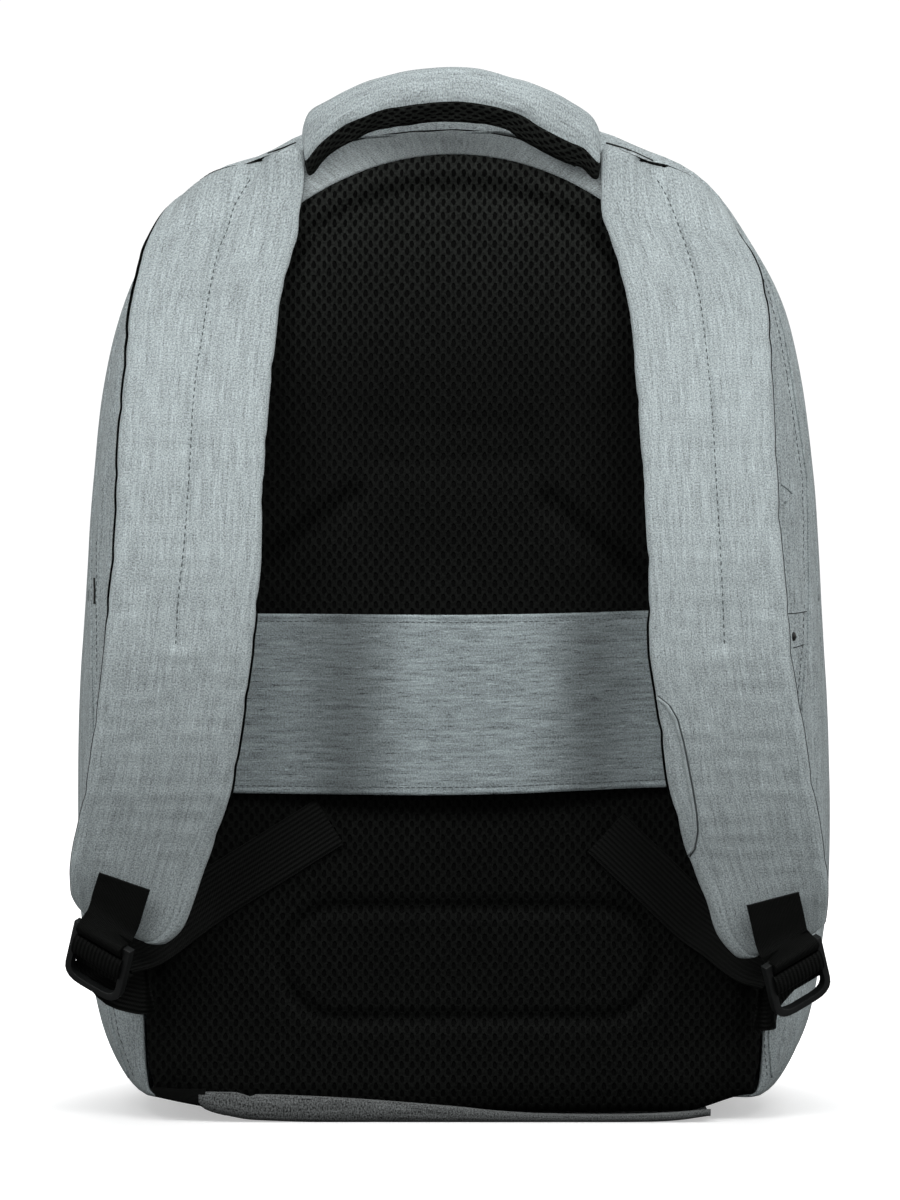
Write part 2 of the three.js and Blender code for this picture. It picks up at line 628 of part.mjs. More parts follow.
// Band over the trolley handle, raised in the middle and lying on the mesh at both ends.
function luggageBand() {
  const half = panelHalfWidth(BAND_BOTTOM + BAND_HEIGHT) - EDGE_INSET;
  const rings = [];
  for (let step = 0; step <= BAND_STEPS; step += 1) {
    const x = mix(-half, half, step / BAND_STEPS);
    const raised = 1 - smooth((Math.abs(x) / HALF_WIDTH - BAND_RAISED) / BAND_SLOPE);
    const inner = -CLEARANCE - PANEL_PAD - CLEARANCE - BAND_STAND_OFF * raised;
    const outer = inner - BAND_THICKNESS;
    const sag = BAND_SAG * raised;
    const bottom = BAND_BOTTOM - sag;
    const top = BAND_BOTTOM + BAND_HEIGHT - sag;
    const middle = (bottom + top) / 2;
    rings.push([
      new THREE.Vector3(x, inner, bottom),
      new THREE.Vector3(x, inner - raised, middle),
      new THREE.Vector3(x, inner, top),
      new THREE.Vector3(x, outer, top),
      new THREE.Vector3(x, outer - raised, middle),
      new THREE.Vector3(x, outer, bottom),
    ]);
  }
  return loft(rings);
}

// One level of a strap: its edges, front face, thickness and the way its face points.
function strapLevel(side, share) {
  const height = share - side.drop * smooth((DROP.from - share) / DROP.over);
  const at = (column) => readTable(STRAP, 'height', share, column);
  const slope =
    ((readTable(STRAP, 'height', share + SLOPE_STEP, 'front') -
      readTable(STRAP, 'height', share - SLOPE_STEP, 'front')) *
      STRAP_STAND_OFF) /
    (2 * SLOPE_STEP * BODY_HEIGHT);
  const facing = new THREE.Vector3(0, -1, -slope).normalize();
  return {
    inner: side.sign * HALF_WIDTH * at('inner'),
    outer: side.sign * HALF_WIDTH * (at('outer') + side.outerShift),
    front: -STRAP_STAND_OFF * at('front'),
    thickness: STRAP_THICKNESS * at('thick'),
    z: BODY_FLOOR + BODY_HEIGHT * height,
    facing,
    share,
  };
}

function strapShare(step, steps, from, to) {
  return mix(from, to, 0.5 - 0.5 * Math.cos((Math.PI * step) / steps));
}

function strap(side) {
  const rings = [];
  for (let step = 0; step <= STRAP_STEPS; step += 1) {
    const share = strapShare(step, STRAP_STEPS, STRAP[0].height, STRAP[STRAP.length - 1].height);
    const level = strapLevel(side, share);
    const grooved = smooth((level.share - GROOVE_END) / GROOVE_FADE);
    rings.push(
      [...STRAP_FRONT, ...STRAP_BACK].map((corner) => {
        const sink = corner.sink * level.thickness + (corner.groove ? STRAP_GROOVE * grooved : 0);
        const point = new THREE.Vector3(mix(level.inner, level.outer, corner.across), level.front, level.z);
        return point.addScaledVector(level.facing, -sink);
      }),
    );
  }
  return loft(rings, STRAP_FRONT.length);
}

function strapLining(side) {
  const rings = [];
  for (let step = 0; step <= LINING_STEPS; step += 1) {
    const level = strapLevel(side, strapShare(step, LINING_STEPS, LINING_START, LINING_END));
    const start = level.thickness + CLEARANCE;
    rings.push(
      LINING_SECTION.map((corner) => {
        const point = new THREE.Vector3(mix(level.inner, level.outer, corner.across), level.front, level.z);
        return point.addScaledVector(level.facing, -start - corner.sink * LINING_THICKNESS);
      }),
    );
  }
  return loft(rings);
}

// Padded grab handle: an arch whose ends are sewn beside the yoke; mesh lining along its lower side.
const HANDLE_END_FRONT = YOKE_THICKNESS + 2 * CLEARANCE + (HANDLE_DEPTH / 2) * (1 - HANDLE_SLIM);
function handleHalf(isCover) {
  const rings = [];
  for (let step = 0; step <= HANDLE_STEPS; step += 1) {
    const across = mix(-1, 1, step / HANDLE_STEPS);
    const x = (across * HANDLE_SPAN) / 2;
    const fall = Math.abs(across) ** HANDLE_SHAPE;
    const front = -HANDLE_END_FRONT - HANDLE_BOW * (1 - fall);
    const centre = new THREE.Vector3(x, front, HANDLE_TOP - HANDLE_RISE * fall);
    const halfHeight = (HANDLE_HEIGHT / 2) * (1 - HANDLE_LOW_ENDS * fall);
    const halfDepth = (HANDLE_DEPTH / 2) * (1 - HANDLE_SLIM * fall);
    const cut = -halfHeight + HANDLE_LINING * mix(1, HANDLE_LINING_ENDS, fall);
    const cutTurn = Math.asin(cut / halfHeight);
    const from = isCover ? cutTurn + HANDLE_SEAM_TURN : Math.PI - cutTurn;
    const to = isCover ? Math.PI - cutTurn - HANDLE_SEAM_TURN : 2 * Math.PI + cutTurn;
    const ring = [];
    for (let corner = 0; corner < HANDLE_SECTION; corner += 1) {
      const turn = mix(from, to, corner / (HANDLE_SECTION - 1));
      const lower = isCover ? 0 : -CLEARANCE;
      const edge = new THREE.Vector3(0, halfDepth * Math.cos(turn), halfHeight * Math.sin(turn) + lower);
      ring.push(edge.add(centre));
    }
    rings.push(ring);
  }
  return loft(rings);
}

// Base plate with a lip turned up in front of the mesh panel, higher on the left than on the right. The
// corner between plate and lip comes half way round each of its rings.
function basePanel() {
  const half = BASE_HALF * HALF_WIDTH;
  const front = BASE_FRONT * bodyDepthAt(0);
  const rear = -CLEARANCE - PANEL_PAD - CLEARANCE - LIP.thickness;
  const rings = [];
  for (let step = 0; step <= BASE_STEPS; step += 1) {
    const across = Math.sin(mix(-1, 1, step / BASE_STEPS) * (Math.PI / 2));
    const x = across * half;
    const corner = Math.abs(across) ** BASE_CORNER.sharpness;
    const lip = mix(LIP.left, LIP.right, (across + 1) / 2) * (1 - (1 - LIP.ends) * corner);
    const frontEdge = front * (1 - BASE_CORNER.pull * corner);
    rings.push([
      new THREE.Vector3(x, rear, 0),
      new THREE.Vector3(x, frontEdge, 0),
      new THREE.Vector3(x, frontEdge, BASE_PLATE),
      new THREE.Vector3(x, rear + LIP.thickness, BASE_PLATE),
      new THREE.Vector3(x, rear + LIP.thickness, BASE_PLATE + lip),
      new THREE.Vector3(x, rear, BASE_PLATE + lip),
    ]);
  }
  return loft(rings, Infinity, rings[0].length / 2);
}

// Flat webbing along a path of stops, each with its place and its width direction.
function ribbon(stops, width) {
  const route = new THREE.CatmullRomCurve3(stops.map((stop) => stop.at), false, 'centripetal');
  const path = [];
  for (let step = 0; step <= (stops.length - 1) * RIBBON_STEPS; step += 1) {
    const place = step / RIBBON_STEPS;
    const first = stops[Math.floor(place)];
    const second = stops[Math.ceil(place)];
    const across = first.across.clone().lerp(second.across, place % 1);
    path.push({ at: route.getPoint(place / (stops.length - 1)), across });
  }
  const rings = path.map((stop, i) => {
    const ahead = path[Math.min(path.length - 1, i + 1)].at;
    const behind = path[Math.max(0, i - 1)].at;
    const along = ahead.clone().sub(behind).normalize();
    const across = stop.across.clone().addScaledVector(along, -along.dot(stop.across)).normalize();
    const face = new THREE.Vector3().crossVectors(along, across);
    const corner = (u, w) =>
      stop.at
        .clone()
        .addScaledVector(across, (u * width) / 2)
        .addScaledVector(face, (w * WEBBING_THICKNESS) / 2);
    return [corner(-1, -1), corner(1, -1), corner(1, 1), corner(-1, 1)];
  });
  return loft(rings, 2);
}

// Frame of a ladder lock: its top bar's middle, turned so that the bar slopes outwards and up.
function buckleFrame(side) {
  const degrees = Math.PI / 180;
  const roll = new THREE.Matrix4().makeRotationY(-side.sign * BUCKLE.roll * degrees);
  const yaw = new THREE.Matrix4().makeRotationZ(side.sign * BUCKLE.yaw * degrees);
  const pitch = new THREE.Matrix4().makeRotationX(BUCKLE.pitch * degrees);
  const place = new THREE.Matrix4().makeTranslation(
    side.sign * HALF_WIDTH * (BUCKLE.across + side.outerShift),
    -STRAP_STAND_OFF * BUCKLE.front,
    BODY_FLOOR + BODY_HEIGHT * (BUCKLE.height - side.drop),
  );
  return place.multiply(roll).multiply(yaw).multiply(pitch);
}

// In the buckle's own frame x runs along the bar, z up towards the strap and -y out of the face.
function buckle(side) {
  const outerHalf = BUCKLE_HALF + BUCKLE_WALL;
  const top = BUCKLE_BAR / 2;
  const windowTop = -top - BUCKLE_SLOT - BUCKLE_BAR;
  const windowBottom = windowTop - BUCKLE_WINDOW;
  const bottom = windowBottom - BUCKLE_WALL;
  const round = BUCKLE_HALF * BUCKLE_ROUND.radius;
  const outline = new THREE.Shape();
  outline.moveTo(-outerHalf, top);
  outline.lineTo(-outerHalf, bottom + round);
  outline.quadraticCurveTo(-outerHalf, bottom, -outerHalf + round * BUCKLE_ROUND.foot, bottom);
  outline.lineTo(outerHalf - round * BUCKLE_ROUND.foot, bottom);
  outline.quadraticCurveTo(outerHalf, bottom, outerHalf, bottom + round);
  outline.lineTo(outerHalf, top);
  outline.closePath();
  const slot = new THREE.Path();
  slot.moveTo(-BUCKLE_HALF, -top);
  slot.lineTo(-BUCKLE_HALF, -top - BUCKLE_SLOT);
  slot.lineTo(BUCKLE_HALF, -top - BUCKLE_SLOT);
  slot.lineTo(BUCKLE_HALF, -top);
  slot.closePath();
  const opening = new THREE.Path();
  const cornerTop = windowBottom + round * BUCKLE_ROUND.window;
  opening.moveTo(-BUCKLE_HALF, windowTop);
  opening.lineTo(-BUCKLE_HALF, cornerTop);
  opening.quadraticCurveTo(-BUCKLE_HALF, windowBottom, -BUCKLE_HALF + round, windowBottom);
  opening.lineTo(BUCKLE_HALF - round, windowBottom);
  opening.quadraticCurveTo(BUCKLE_HALF, windowBottom, BUCKLE_HALF, cornerTop);
  opening.lineTo(BUCKLE_HALF, windowTop);
  opening.closePath();
  outline.holes.push(slot, opening);
  const plate = new THREE.ExtrudeGeometry(outline, {
    depth: BUCKLE_PLATE,
    bevelEnabled: false,
    curveSegments: 5,
  });
  plate.translate(0, 0, -BUCKLE_PLATE / 2);
  plate.rotateX(Math.PI / 2);
  plate.applyMatrix4(buckleFrame(side));
  return plate;
}

function inBuckle(side, up, out) {
  return new THREE.Vector3(0, -out, up).applyMatrix4(buckleFrame(side));
}

function barDirection(side) {
  return new THREE.Vector3(1, 0, 0).transformDirection(buckleFrame(side));
}

const LOOP_OUT = BUCKLE_PLATE / 2 + CLEARANCE + WEBBING_THICKNESS / 2;
function tab(side) {
  const tilt = (TAB.tilt * Math.PI) / 180;
  const flat = new THREE.Vector3(Math.cos(tilt), 0, side.sign * Math.sin(tilt));
  const path = [];
  for (let step = 0; step <= 2; step += 1) {
    const share = mix(TAB.topZ, TAB.lowZ, step / 2);
    const level = strapLevel(side, share);
    const x = side.sign * HALF_WIDTH * (mix(TAB.topX, TAB.lowX, step / 2) + side.outerShift);
    const at = new THREE.Vector3(x, level.front, level.z);
    at.addScaledVector(level.facing, WEBBING_THICKNESS / 2 + 2 * CLEARANCE + TAB.lift);
    path.push({ at, across: flat });
  }
  path.push({ at: inBuckle(side, BUCKLE_BAR, -LOOP_OUT - 4 * CLEARANCE), across: barDirection(side) });
  const behind = inBuckle(side, -BUCKLE_BAR / 2 - TAB.tuck, -LOOP_OUT - 2 * CLEARANCE);
  path.push({ at: behind, across: barDirection(side) });
  return ribbon(path, WEBBING_WIDTH);
}

// Webbing from the side seam, up through the lower window and over the middle bar.
function adjuster(side) {
  const bar = barDirection(side);
  const upright = new THREE.Vector3(0, 0, 1);
  const seamX = side.sign * HALF_WIDTH * SIDE_SEAM.across;
  const seamZ = BODY_FLOOR + BODY_HEIGHT * (SIDE_SEAM.height - side.drop);
  const onPanel = -CLEARANCE - PANEL_PAD - CLEARANCE - WEBBING_THICKNESS / 2;
  const middle = -BUCKLE_BAR / 2 - BUCKLE_SLOT - BUCKLE_BAR / 2;
  const path = [
    { at: new THREE.Vector3(seamX, onPanel, seamZ), across: upright },
    {
      at: new THREE.Vector3(seamX + side.sign * ADJUSTER_LEAD.along, onPanel - ADJUSTER_LEAD.out, seamZ),
      across: upright,
    },
  ];
  ADJUSTER_PATH.forEach((row) => {
    const across = bar.clone().lerp(upright, row.upright);
    path.push({ at: inBuckle(side, middle + row.up, row.out), across });
  });
  ADJUSTER_OVER_BAR.forEach((row) => {
    path.push({ at: inBuckle(side, middle + row.up, LOOP_OUT + row.out), across: bar });
  });
  return ribbon(path, WEBBING_WIDTH);
}

// Loose end of the webbing: from behind the buckle onto the mesh and up towards the band.
function tail(side) {
  const place = TAILS[side.name];
  const onPanel = -CLEARANCE - PANEL_PAD - 3 * CLEARANCE - WEBBING_THICKNESS / 2;
  const point = (x, y, z) =>
    new THREE.Vector3(side.sign * HALF_WIDTH * x, y, BODY_FLOOR + BODY_HEIGHT * z);
  const end = point(place.endX, onPanel, place.endZ);
  const low = point(place.lowX, onPanel, place.lowZ);
  const along = end.clone().sub(low).normalize();
  const flat = new THREE.Vector3(along.z, 0, -along.x);
  const bar = barDirection(side).multiplyScalar(flat.dot(barDirection(side)) < 0 ? -1 : 1);
  const start = inBuckle(side, TAIL_START.up - BUCKLE_BAR / 2 - BUCKLE_SLOT - BUCKLE_BAR, TAIL_START.out);
  const path = [{ at: start, across: bar }];
  TAIL_SWAG.forEach((row) => {
    const sag = new THREE.Vector3(0, row.back, -row.drop);
    path.push({ at: start.clone().lerp(low, row.share).add(sag), across: bar.clone().lerp(flat, row.flat) });
  });
  path.push({ at: low, across: flat }, { at: end, across: flat });
  return ribbon(path, WEBBING_WIDTH);
}

addMesh('front_shell', frontShell(), GREY_CLOTH);
addMesh('rear_gusset', rearGusset(), GREY_CLOTH);
addMesh('main_zip', mainZip(), BLACK_WEBBING);
addMesh('back_panel', backPanel(), BLACK_MESH);
addMesh('yoke', yoke(), GREY_CLOTH);
addMesh('luggage_band', luggageBand(), GREY_CLOTH);
addMesh('base_panel', basePanel(), GREY_CLOTH);
addMesh('handle_cover', handleHalf(true), GREY_CLOTH);
addMesh('handle_lining', handleHalf(false), BLACK_MESH);
for (const side of SIDES) {
  addMesh(`strap_${side.name}`, strap(side), GREY_CLOTH);
  addMesh(`strap_lining_${side.name}`, strapLining(side), BLACK_MESH);
  addMesh(`tab_${side.name}`, tab(side), BLACK_WEBBING);
  addMesh(`buckle_${side.name}`, buckle(side), DARK_PLASTIC);
  addMesh(`adjuster_${side.name}`, adjuster(side), BLACK_WEBBING);
  addMesh(`tail_${side.name}`, tail(side), BLACK_WEBBING);
  addMesh(`side_piping_${side.name}`, sidePiping(side.sign), GREY_CLOTH);
}

// The origin is the middle of the base of the whole object's box.
const box = new THREE.Box3().setFromObject(pack);
const centre = box.getCenter(new THREE.Vector3());
pack.position.set(-centre.x, -centre.y, -box.min.z);
const anti_theft_backpack = new THREE.Group();
anti_theft_backpack.add(pack);

export default anti_theft_backpack;
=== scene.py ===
import bisect
import math

import bmesh
import bpy
from mathutils import Matrix, Vector, noise
from mathutils.bvhtree import BVHTree


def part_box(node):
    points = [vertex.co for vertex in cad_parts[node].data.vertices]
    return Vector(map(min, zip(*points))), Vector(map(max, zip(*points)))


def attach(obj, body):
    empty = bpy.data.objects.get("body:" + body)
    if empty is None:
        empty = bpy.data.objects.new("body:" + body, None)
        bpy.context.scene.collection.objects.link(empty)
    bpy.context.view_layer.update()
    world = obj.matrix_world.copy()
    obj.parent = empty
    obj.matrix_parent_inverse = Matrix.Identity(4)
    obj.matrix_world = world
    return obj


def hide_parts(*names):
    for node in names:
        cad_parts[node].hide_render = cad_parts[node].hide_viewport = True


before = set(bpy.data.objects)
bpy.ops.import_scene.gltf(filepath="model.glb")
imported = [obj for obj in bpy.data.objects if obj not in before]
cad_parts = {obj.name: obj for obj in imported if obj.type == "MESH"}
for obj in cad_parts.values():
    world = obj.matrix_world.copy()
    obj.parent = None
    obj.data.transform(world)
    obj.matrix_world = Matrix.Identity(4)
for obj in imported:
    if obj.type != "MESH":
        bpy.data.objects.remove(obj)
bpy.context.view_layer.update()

# Millimetres on the back plane of the bag, as it is seen by the camera, become metres with sight().
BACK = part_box("rear_gusset")[0].y
BODY_FLOOR, BODY_HEIGHT, HALF_WIDTH, BODY_DEPTH = 3.3, 474.0, 183.0, 180.0
CAMERA_DISTANCE, CAMERA_X, CAMERA_Z = 2200.0, -1.7, 247.0
MM = 0.001
# The picture that the seen places were read from: millimetres a pixel, and its pixel at the origin.
PIXEL_SIZE, PIXEL_X, PIXEL_Y = 0.475, 453.5, 1120

# Outline of the body from the base upwards, its depth, and its sections, as shares of the body's sizes.
OUTLINE = (
    ("height", "rear", "belly"),
    (0.0, 0.735, 0.735),
    (0.01, 0.785, 0.815),
    (0.038, 0.8, 0.885),
    (0.09, 0.805, 0.945),
    (0.2, 0.818, 0.993),
    (0.36, 0.82, 1.0),
    (0.52, 0.81, 0.978),
    (0.64, 0.79, 0.958),
    (0.75, 0.752, 0.92),
    (0.84, 0.69, 0.853),
    (0.905, 0.61, 0.765),
    (0.95, 0.5, 0.635),
    (0.982, 0.35, 0.455),
    (0.996, 0.18, 0.235),
    (1.0, 0.0, 0.0),
)
SIDE_VIEW = (
    ("height", "depth"),
    (0.0, 0.9),
    (0.12, 0.98),
    (0.3, 1.0),
    (0.5, 0.965),
    (0.7, 0.87),
    (0.85, 0.73),
    (0.94, 0.6),
    (1.0, 0.5),
)
SECTIONS = (
    ("depth", "belly", "side", "top", "lift"),
    (0.0, 0.0, 1.0, 0.985, 0.0),
    (0.06, 0.5, 1.0, 0.994, 0.0),
    (0.16, 0.84, 1.0, 1.0, 0.0),
    (0.34, 1.0, 1.0, 1.0, 0.0),
    (0.55, 1.0, 0.985, 0.995, 0.0),
    (0.74, 1.0, 0.94, 0.98, 0.004),
    (0.87, 1.0, 0.865, 0.95, 0.02),
    (0.95, 1.0, 0.76, 0.9, 0.055),
    (0.99, 1.0, 0.61, 0.82, 0.12),
    (1.01, 1.0, 0.4, 0.7, 0.23),
    (1.018, 1.0, 0.18, 0.58, 0.35),
)
# The height, as a share, towards which the front rounds off; where the rear's outline ends; the last section.
FRONT_CENTRE, REAR_TOP, LAST_DEPTH = 0.46, 0.985, 1.018

# Straps from their sewn top edge down: inner and outer edge as seen, and how far the face stands out.
STRAP_ROWS = {
    "left": (
        ("inner_x", "inner_z", "outer_x", "outer_z", "out"),
        (-71.5, 465.5, -134.2, 435.6, 12.4),
        (-71.5, 446.5, -140.4, 428.4, 13.5),
        (-72.9, 432.2, -145.1, 419.4, 15.4),
        (-74.3, 420.4, -148.2, 410.9, 17.7),
        (-78.1, 407.5, -150.8, 400.9, 20.9),
        (-80.5, 399.0, -152.9, 391.9, 23.9),
        (-82.9, 385.7, -154.8, 380.9, 28.4),
        (-84.3, 372.9, -155.6, 371.4, 33.1),
        (-86.0, 358.6, -156.5, 358.6, 38.8),
        (-87.6, 342.0, -158.2, 342.0, 45.3),
        (-89.1, 323.0, -159.7, 323.0, 52.6),
        (-90.2, 304.0, -160.5, 304.0, 59.0),
        (-91.0, 285.0, -161.0, 285.0, 64.3),
        (-91.4, 266.0, -162.2, 266.0, 69.1),
        (-93.3, 244.6, -164.5, 244.6, 71.9),
        (-95.7, 223.2, -166.5, 223.2, 73.7),
        (-98.1, 204.2, -168.6, 204.2, 72.6),
        (-101.4, 180.5, -171.7, 180.5, 69.4),
        (-105.7, 155.3, -175.4, 155.3, 64.1),
        (-110.2, 140.1, -178.7, 140.1, 59.0),
        (-114.2, 128.2, -181.1, 129.2, 55.1),
        (-119.0, 115.4, -182.6, 118.8, 51.0),
        (-123.7, 102.1, -182.5, 111.6, 47.2),
        (-129.9, 88.3, -181.7, 105.0, 43.2),
        (-140.4, 80.3, -177.4, 97.8, 40.2),
    ),
    "right": (
        ("inner_x", "inner_z", "outer_x", "outer_z", "out"),
        (70.5, 462.6, 127.5, 434.1, 12.5),
        (70.5, 446.5, 132.8, 426.5, 13.6),
        (70.5, 431.3, 138.0, 418.0, 15.6),
        (73.4, 421.8, 142.3, 411.3, 17.5),
        (77.2, 410.9, 146.1, 402.8, 20.0),
        (80.0, 400.4, 148.4, 393.3, 23.4),
        (82.9, 388.1, 149.9, 384.8, 27.1),
        (84.8, 372.9, 150.8, 372.9, 32.8),
        (86.2, 356.2, 151.8, 356.2, 39.8),
        (87.6, 339.6, 152.6, 339.6, 46.2),
        (88.8, 323.0, 153.4, 323.0, 52.6),
        (90.2, 303.1, 154.5, 303.1, 59.3),
        (91.4, 282.6, 155.6, 282.6, 65.0),
        (92.4, 266.0, 157.2, 265.1, 69.2),
        (92.7, 242.2, 159.4, 241.3, 72.3),
        (93.3, 220.9, 160.9, 220.9, 73.6),
        (95.7, 204.2, 163.5, 204.2, 72.7),
        (98.8, 182.9, 167.2, 182.9, 70.5),
        (101.9, 159.1, 170.8, 159.1, 65.8),
        (105.7, 144.4, 173.6, 144.9, 62.2),
        (109.5, 129.2, 176.2, 128.2, 57.2),
        (114.7, 115.4, 178.1, 115.4, 52.8),
        (120.4, 101.6, 178.4, 106.9, 49.1),
        (125.6, 86.5, 178.0, 99.8, 44.8),
        (137.0, 73.6, 176.9, 90.7, 40.5),
    ),
}
# How far the sewn top edge of a strap rises over the line between its corners, by the share across.
STRAP_TOP = {
    "left": (
        ("share", "rise"),
        (0.0, 0.0), (0.3, 2.3), (0.45, 3.4), (0.6, 5.4), (0.75, 6.4), (0.9, 3.4), (1.0, 0.6),
    ),
    "right": (
        ("share", "rise"),
        (0.0, 3.0), (0.3, 5.0), (0.5, 7.4), (0.65, 8.0), (0.78, 8.0), (0.9, 5.6), (1.0, 2.4),
    ),
}
# Stitched groove down the middle of each strap, as it is seen.
GROOVES = {
    "left": (
        ("z", "x"),
        (458.4, -88.6), (444.6, -96.7), (433.7, -103.8), (422.8, -107.6), (412.3, -111.9),
        (387.6, -117.1), (375.3, -119.0), (360.5, -121.4), (345.8, -123.3), (329.7, -124.4), (313.5, -125.2),
        (292.6, -126.6), (274.0, -128.0), (251.8, -130.4), (225.2, -132.1), (190.0, -134.0),
    ),
    "right": (
        ("z", "x"),
        (454.1, 88.1), (447.5, 93.8), (435.1, 101.9), (416.1, 110.0), (393.3, 116.4), (375.3, 119.0),
        (353.4, 121.4), (329.7, 123.3), (305.4, 124.7), (262.0, 127.2), (223.3, 128.8), (190.0, 130.0),
    ),
}
# The groove ends at this height in millimetres, and a strap is about this wide in metres.
GROOVE_FOOT, STRAP_WIDTH = 224.0, 0.066

# Handle from left to right: its upper and its lower edge as seen, and how far its middle stands out.
HANDLE_ROWS = (
    ("top_x", "top_z", "low_x", "low_z", "out"),
    (-72.4, 473.1, -69.6, 443.8, 11.0),
    (-67.7, 480.2, -64.6, 450.6, 14.0),
    (-61.5, 484.0, -59.6, 456.7, 17.0),
    (-55.3, 487.4, -53.9, 460.8, 19.5),
    (-46.8, 491.6, -45.4, 465.0, 22.5),
    (-38.7, 495.0, -37.3, 468.8, 25.0),
    (-30.2, 497.3, -29.2, 470.5, 26.8),
    (-21.6, 499.2, -20.7, 471.7, 28.0),
    (-9.3, 500.7, -8.3, 472.9, 28.7),
    (4.0, 500.9, 4.0, 472.9, 28.7),
    (12.6, 500.0, 12.6, 472.2, 28.3),
    (19.7, 498.3, 19.7, 471.2, 27.6),
    (26.8, 496.1, 25.9, 469.3, 26.6),
    (34.0, 494.2, 31.6, 465.5, 25.3),
    (41.6, 491.4, 38.7, 461.2, 23.7),
    (48.7, 488.3, 45.4, 457.4, 21.7),
    (55.3, 484.5, 53.4, 453.6, 19.0),
    (62.0, 480.2, 61.0, 451.3, 15.8),
    (66.3, 476.4, 66.2, 445.8, 13.3),
    (69.6, 472.9, 69.6, 441.8, 11.0),
)


def clamp(value, low=0.0, high=1.0):
    return min(high, max(low, value))


def smooth(value):
    t = clamp(value)
    return t * t * (3 - 2 * t)


def mix(a, b, share):
    return a + (b - a) * share


TRACKS = {}


def track_of(table, key, wanted):
    """Two columns of a table in rising order, with the slope at each row."""
    k, w = table[0].index(key), table[0].index(wanted)
    rows = sorted((row[k], row[w]) for row in table[1:])
    slopes = []
    for number in range(len(rows)):
        before, after = rows[max(0, number - 1)], rows[min(len(rows) - 1, number + 1)]
        slopes.append((after[1] - before[1]) / (after[0] - before[0]))
    return table, [row[0] for row in rows], [row[1] for row in rows], slopes


def column(table, key, at, wanted):
    """Smooth reading of one named column of a table at a value of its key column."""
    name = (id(table), key, wanted)
    if name not in TRACKS:
        TRACKS[name] = track_of(table, key, wanted)
    _, keys, values, slopes = TRACKS[name]
    if at <= keys[0]:
        return values[0]
    if at >= keys[-1]:
        return values[-1]
    i = bisect.bisect_left(keys, at) - 1
    span = keys[i + 1] - keys[i]
    t = (at - keys[i]) / span
    straight = mix(values[i], values[i + 1], t * t * (3 - 2 * t))
    return straight + slopes[i] * span * t * (1 - t) ** 2 - slopes[i + 1] * span * t * t * (1 - t)


def place(x, out, z):
    """Millimetres across, out of the back plane and up, as a point of the frame."""
    return Vector((x * MM, BACK - out * MM, z * MM))


def sight(x, out, z):
    """The point that stands out from the back plane and is seen at x, z on it."""
    share = out / CAMERA_DISTANCE
    return place(mix(x, CAMERA_X, share), out, mix(z, CAMERA_Z, share))


def ripple(point, size, seed=0.0):
    """Soft noise from -1 to 1 with waves of about that size in metres."""
    return noise.noise(point / size + Vector((seed, seed * 1.7, -seed)))


# Meshes


def finish_piece(name, bm, material, replaced=(), smooth_faces=True):
    mesh = bpy.data.meshes.new(name)
    for face in bm.faces:
        face.smooth = smooth_faces
    bm.to_mesh(mesh)
    bm.free()
    piece = bpy.data.objects.new(name, mesh)
    bpy.context.scene.collection.objects.link(piece)
    for one in material if isinstance(material, (list, tuple)) else [material]:
        mesh.materials.append(one)
    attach(piece, "root")
    if replaced:
        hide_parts(*replaced)
    return piece


def cloth_grid(columns, rows, point, ring=False, uv=None):
    """A grid whose vertices go where point(column, row) says, and remember both. A ring closes across."""
    bm = bmesh.new()
    bmesh.ops.create_grid(bm, x_segments=columns, y_segments=rows, size=0.5, calc_uvs=True)
    layer = bm.loops.layers.uv.verify()
    at_column = bm.verts.layers.float.new("column")
    at_row = bm.verts.layers.float.new("row")
    for vert in bm.verts:
        vert[at_column] = round((vert.co.x + 0.5) * columns)
        vert[at_row] = round((vert.co.y + 0.5) * rows)
    for face in bm.faces:
        for loop in face.loops:
            c, r = loop.vert[at_column], loop.vert[at_row]
            loop[layer].uv = uv(c, r) if uv else (c / columns, r / rows)
    for vert in bm.verts:
        c, r = int(vert[at_column]), int(vert[at_row])
        vert.co = point(c % columns if ring else c, r)
    if ring:
        bmesh.ops.remove_doubles(bm, verts=bm.verts, dist=1e-7)
    return bm


def close_holes(bm):
    bmesh.ops.holes_fill(bm, edges=[edge for edge in bm.edges if edge.is_boundary], sides=0)
    bmesh.ops.recalc_face_normals(bm, faces=bm.faces)


def back_with_plane(bm, out):
    """Turns the rim of an open sheet back to a flat back that stands that far out, and closes it."""
    rim = [edge for edge in bm.edges if edge.is_boundary]
    grown = bmesh.ops.extrude_edge_only(bm, edges=rim)["geom"]
    for vert in (one for one in grown if isinstance(one, bmesh.types.BMVert)):
        vert.co.y = BACK - out * MM
    close_holes(bm)


def add_modifier(piece, kind, **settings):
    modifier = piece.modifiers.new(kind.lower(), kind)
    for key, value in settings.items():
        setattr(modifier, key, value)
    return modifier


def add_subdivision(piece, levels=1):
    add_modifier(piece, "SUBSURF", levels=levels, render_levels=levels)


def add_wall(piece, thickness, offset=-1.0):
    add_modifier(piece, "SOLIDIFY", thickness=thickness, offset=offset)


def add_bevel(piece, width, segments=2):
    add_modifier(piece, "BEVEL", width=width, segments=segments, limit_method="ANGLE")


def apply_modifiers(piece):
    """Bakes the piece's modifiers into its mesh."""
    graph = bpy.context.evaluated_depsgraph_get()
    baked = bpy.data.meshes.new_from_object(piece.evaluated_get(graph))
    old = piece.data
    piece.modifiers.clear()
    piece.data = baked
    bpy.data.meshes.remove(old)


def remembered(piece):
    """Every vertex of the piece with its column and row."""
    columns = piece.data.attributes["column"].data
    rows = piece.data.attributes["row"].data
    for vert in piece.data.vertices:
        yield vert, columns[vert.index].value, rows[vert.index].value


